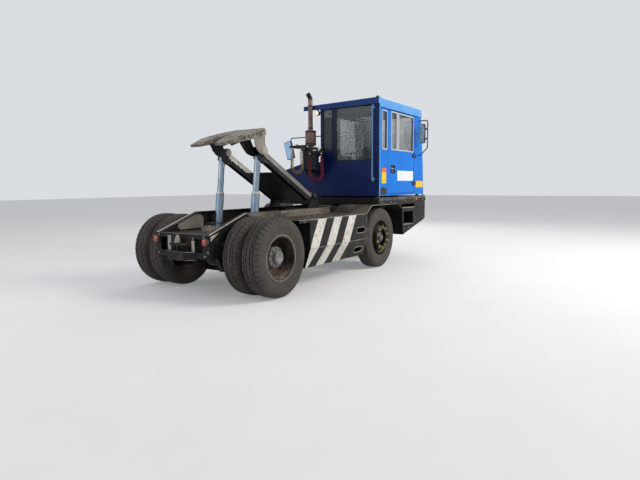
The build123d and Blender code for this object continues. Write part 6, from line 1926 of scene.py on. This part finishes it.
piece("silencer_holes", shield_rows, "seal_rubber")

# Air cleaner: bands, lid clips, snout lip, outlet clamps
cleaner = place(2.655, 0.13, 0)
clips = [
    ring([(0.1565, 1.845), (0.1625, 1.848), (0.1625, 1.868), (0.1565, 1.871)], cleaner, upward, 48),
    ring([(0.1565, 2.06), (0.1625, 2.063), (0.1625, 2.085), (0.1565, 2.088)], cleaner, upward, 48),
    ring([(0.1665, 2.199), (0.1715, 2.202), (0.1715, 2.214), (0.1665, 2.217)], cleaner, upward, 48)
]
for i in range(6):
    angle = radians(20 + 60 * i)
    foot_spot = Vector((cleaner[0] + 0.161 * cos(angle), cleaner[1] + 0.161 * sin(angle), 2.15))
    out = Vector((cos(angle), sin(angle), 0))
    clips.append(bent([
        foot_spot, foot_spot + out * 0.012 + Vector((0, 0, 0.02)), foot_spot + out * 0.014 + Vector((0, 0, 0.06)),
        foot_spot + out * 0.004 + Vector((0, 0, 0.075))
    ], 0.015, 0.004, 8))
clips.append(turned(
    [(0.022, 0), (0.022, 0.01), (0.012, 0.016), (0.01, 0.03), (0, 0.032)], (cleaner[0], cleaner[1], 2.268), upward, 24
))
piece("cleaner_clips", clips, "dark_steel")
snout_dir = Vector((0, -0.31, 0.17)).normalized()
snout_end = Vector(place(2.655, -0.18, 2.205))
snout = ring(
    [(0.0475, -0.012), (0.0575, -0.012), (0.0585, 0.0), (0.0575, 0.004), (0.0475, 0.004)], snout_end, snout_dir, 40
)
snout_inside = turned([(0.0468, -0.09), (0.0468, -0.085), (0, -0.085)], snout_end, snout_dir, 32)
piece(
    "snout_lip",
    [
        snout, snout_inside,
        ring([(0.0548, -0.15), (0.0585, -0.15), (0.0585, -0.135), (0.0548, -0.135)], snout_end, snout_dir, 40)
    ],
    "snout_paint"
)
piece(
    "outlet_bands",
    [
        ring([(0.0452, -0.008), (0.049, -0.008), (0.049, 0.008), (0.0452, 0.008)], place(a, 0.15, 1.9), forward, 36)
        for a in (2.84, 2.95)
    ],
    "bright_steel"
)

# Couplings where the coiled hoses leave the rack, the tap and the cable socket
fittings, red_ends, yellow_ends = [], [], []
for ends, y, z in (
    (red_ends, 0.005, 2.13), (red_ends, -0.25, 2.13), (yellow_ends, 0.4, 2.25), (yellow_ends, 0.205, 2.25)
):
    fittings.append(turned(
        [(0.0125, -0.004), (0.0125, 0.012), (0.01, 0.014), (0, 0.014)], place(2.45, y, z - 0.012), upward, 6
    ))
    fittings.append(turned([(0.0085, -0.034), (0.0085, -0.01), (0, -0.01)], place(2.45, y, z), upward, 16))
    ends.append(turned(
        [(0.0105, -0.052), (0.0125, -0.046), (0.0125, -0.024), (0.0095, -0.02), (0, -0.02)], place(2.45, y, z),
        upward, 20
    ))
piece("coupling_nuts", fittings, "bright_steel")
piece("red_hose_ends", red_ends, "red_hose")
piece("yellow_hose_ends", yellow_ends, "yellow_hose")
heads = []
for y, z in ((-0.10, 2.169), (0.30, 2.289)):
    spot = place(2.45, y, z)
    heads.append(turned(
        [(0.026, 0), (0.028, 0.004), (0.028, 0.018), (0.02, 0.026), (0.012, 0.028), (0, 0.028)], spot, upward, 28
    ))
    heads.append(bar((2.438, y - 0.045, z + 0.006), (2.462, y + 0.045, z + 0.014)))
piece("coupling_heads", heads, "pale_steel", bevel=0.0015)
piece(
    "white_tap",
    turned(
        [(0.012, 0), (0.012, 0.02), (0.017, 0.024), (0.017, 0.075), (0.01, 0.085), (0.01, 0.105), (0, 0.106)],
        place(2.45, -0.195, 2.169), upward, 24
    ),
    "white_plate"
)
socket = joined(
    button((0.034, 0.045, 0.03, 0.05), place(2.432, 0.13, 2.21), backward, 28),
    bar((2.372, 0.096, 2.236), (2.386, 0.164, 2.246))
)
piece("cable_socket", socket, "black_plastic", bevel=0.001)


# Dust and painted sunlight on the rails, worn and dusty faces, the cover, valves and lines between the rails, the
# foot holes' pockets and a plate low on the cab

# Pale patch on the right rail's outer face: dust, and painted sunlight shaped to the part of the face that the sun
# lights
piece(
    "rail_dust_right",
    plate([
        (0.43, 1.0375), (0.2, 1.086), (0.068, 1.126), (0.082, 1.1425), (1.3, 1.144), (2.275, 1.1435), (2.275, 1.038),
        (1.6, 1.0372)
    ], -0.5422, -0.5398),
    "dusty_paint", smooth=20
)
# Pale patch on the left rail's inner face: dust, and painted sunlight shaped to the part of the face that the sun
# lights
piece(
    "rail_dust_left",
    plate([
        (-0.275, 0.925), (-0.272, 1.005), (0.085, 1.127), (0.13, 1.128), (0.215, 1.075), (0.237, 1.035),
        (0.232, 0.896), (-0.232, 0.884)
    ], 0.5258, 0.5285),
    "strip_paint", smooth=20
)
# Pale triangle on the tail of the right rail's outer face: painted sunlight, shaped to the lit part of the face
piece(
    "rail_tail_wear", plate([(-0.65, 0.866), (-0.478, 0.912), (-0.56, 0.858), (-0.642, 0.8)], -0.542, -0.5398),
    "worn_cap", smooth=20
)
base_face = [(2.906, 1.236), (2.906, 1.298), (5.134, 1.298), (5.134, 1.246), (4.3, 1.24), (3.6, 1.244), (3.1, 1.236)]
piece(
    "base_edge_wear", [plate(base_face, -1.2122, -1.2098), plate(base_face, 1.2098, 1.2122)], "worn_edge_paint",
    smooth=20
)
cheek_face = [
    (0.318, 2.276), (0.655, 2.366), (0.634, 2.323), (0.585, 2.21), (0.64, 2.125), (0.664, 2.06), (0.645, 2.01),
    (0.6, 1.994), (0.54, 2.0), (0.47, 2.03), (0.41, 2.085), (0.375, 2.15), (0.372, 2.205)
]
piece(
    "cheek_plates", [plate(cheek_face, -0.4505, -0.4575), plate(cheek_face, 0.4505, 0.4575)], "strip_paint",
    "fifth_wheel", bevel=0.002
)
cover = slab([(ahead(-0.575), -0.5), (ahead(0.16), -0.5), (ahead(0.16), 0.5), (ahead(-0.575), 0.5)], "z", 0.86, 0.868)
folds = [bar((a, -0.5, 0.868), (a + 0.012, 0.5, 0.88)) for a in (-0.575, 0.148)]
cover_bolts = [
    nut(place(a, y, 0.868), upward, 0.009, 0.009, a) for a in (-0.52, -0.2, 0.11) for y in (-0.46, -0.16, 0.16, 0.46)
]
piece("tail_cover", [cover, *folds], "black_paint", bevel=0.002)
piece("tail_cover_bolts", cover_bolts, "worn_steel")
piece(
    "valve_block",
    [
        card("z", (-0.1, 0.02), (0.04, 0.22), 0.01, 0.868, 0.925),
        *[
            button((0.014, 0.02, 0.01, 0.026), place(a, y, 0.925), upward, 6)
            for a, y in ((-0.06, 0.06), (0.0, 0.06), (-0.06, 0.16), (0.0, 0.16))
        ]
    ],
    "worn_steel", bevel=0.002
)
piece(
    "valve_lines",
    [bent([
        place(-0.03, y, 0.94), place(-0.03, y, 0.985), place(0.13, y, 0.985), place(0.13, far_y, 0.96),
        place(0.13, far_y, 0.89)
    ], 0.04, 0.008, 10) for y, far_y in ((0.06, 0.3), (0.16, 0.34), (0.09, -0.3))],
    "seal_rubber"
)

pockets = [bar((2.095, -1.045, 0.335), (2.345, -1.037, 0.865))]
for z, out_y in ((0.706, -1.214), (0.366, -1.125)):
    pockets.append(bar((2.095, out_y, z - 0.006), (2.345, -1.037, z)))
    pockets.append(bar((2.095, out_y, z), (2.1, -1.037, z + 0.115)))
    pockets.append(bar((2.34, out_y, z), (2.345, -1.037, z + 0.115)))
piece("foot_pockets", both_sides(*pockets), "black_paint", bevel=0.001)
piece(
    "cab_low_plate",
    plate([(2.975, 1.345), (3.225, 1.345), (3.225, 1.47), (3.13, 1.482), (2.975, 1.478)], -1.203, -1.199),
    "black_plastic", bevel=0.0012
)

# Sliding pane bars, and the panel high in the narrow rear window
piece(
    "door_pane_bars",
    [
        plate([(low, 2.214), (low + 0.034, 2.214), (low + 0.034, 2.886), (low, 2.886)], -1.2035, -1.1975)
        for low in (3.655, 3.735)
    ],
    "pale_gasket", "door", bevel=0.002
)
piece("rear_high_panel", card("x", (-0.16, 2.842), (0.02, 2.975), 0.012, 2.972, 2.99), "white_plate", bevel=0.002)
piece(
    "rear_high_knob", button((0.02, 0.01, 0.014, 0.014), place(2.972, -0.105, 2.905), backward, 20), "black_plastic"
)
piece(
    "work_lamp_lens",
    turned([(0.041, 0.0), (0.041, 0.003), (0.028, 0.007), (0, 0.009)], place(2.8598, 0.122, 2.925), backward, 36),
    "glow_lens"
)

# Brake chambers on the rear axle
chambers, chamber_bands = [], []
for hand in (-1, 1):
    foot_spot = place(-0.215, hand * 0.4, 0.56)
    chambers.append(turned([
        (0, 0), (0.045, 0.004), (0.076, 0.022), (0.078, 0.05), (0.078, 0.12), (0.06, 0.142), (0.02, 0.15),
        (0.018, 0.185), (0, 0.185)
    ], foot_spot, (-0.15, 0, 0.99), 32))
    chamber_bands.append(turned(
        [(0.0775, 0.078), (0.083, 0.081), (0.083, 0.091), (0.0775, 0.094)], foot_spot, (-0.15, 0, 0.99), 32
    ))
piece("brake_chambers", chambers, "frame_paint")
piece("brake_chamber_bands", chamber_bands, "bright_steel")
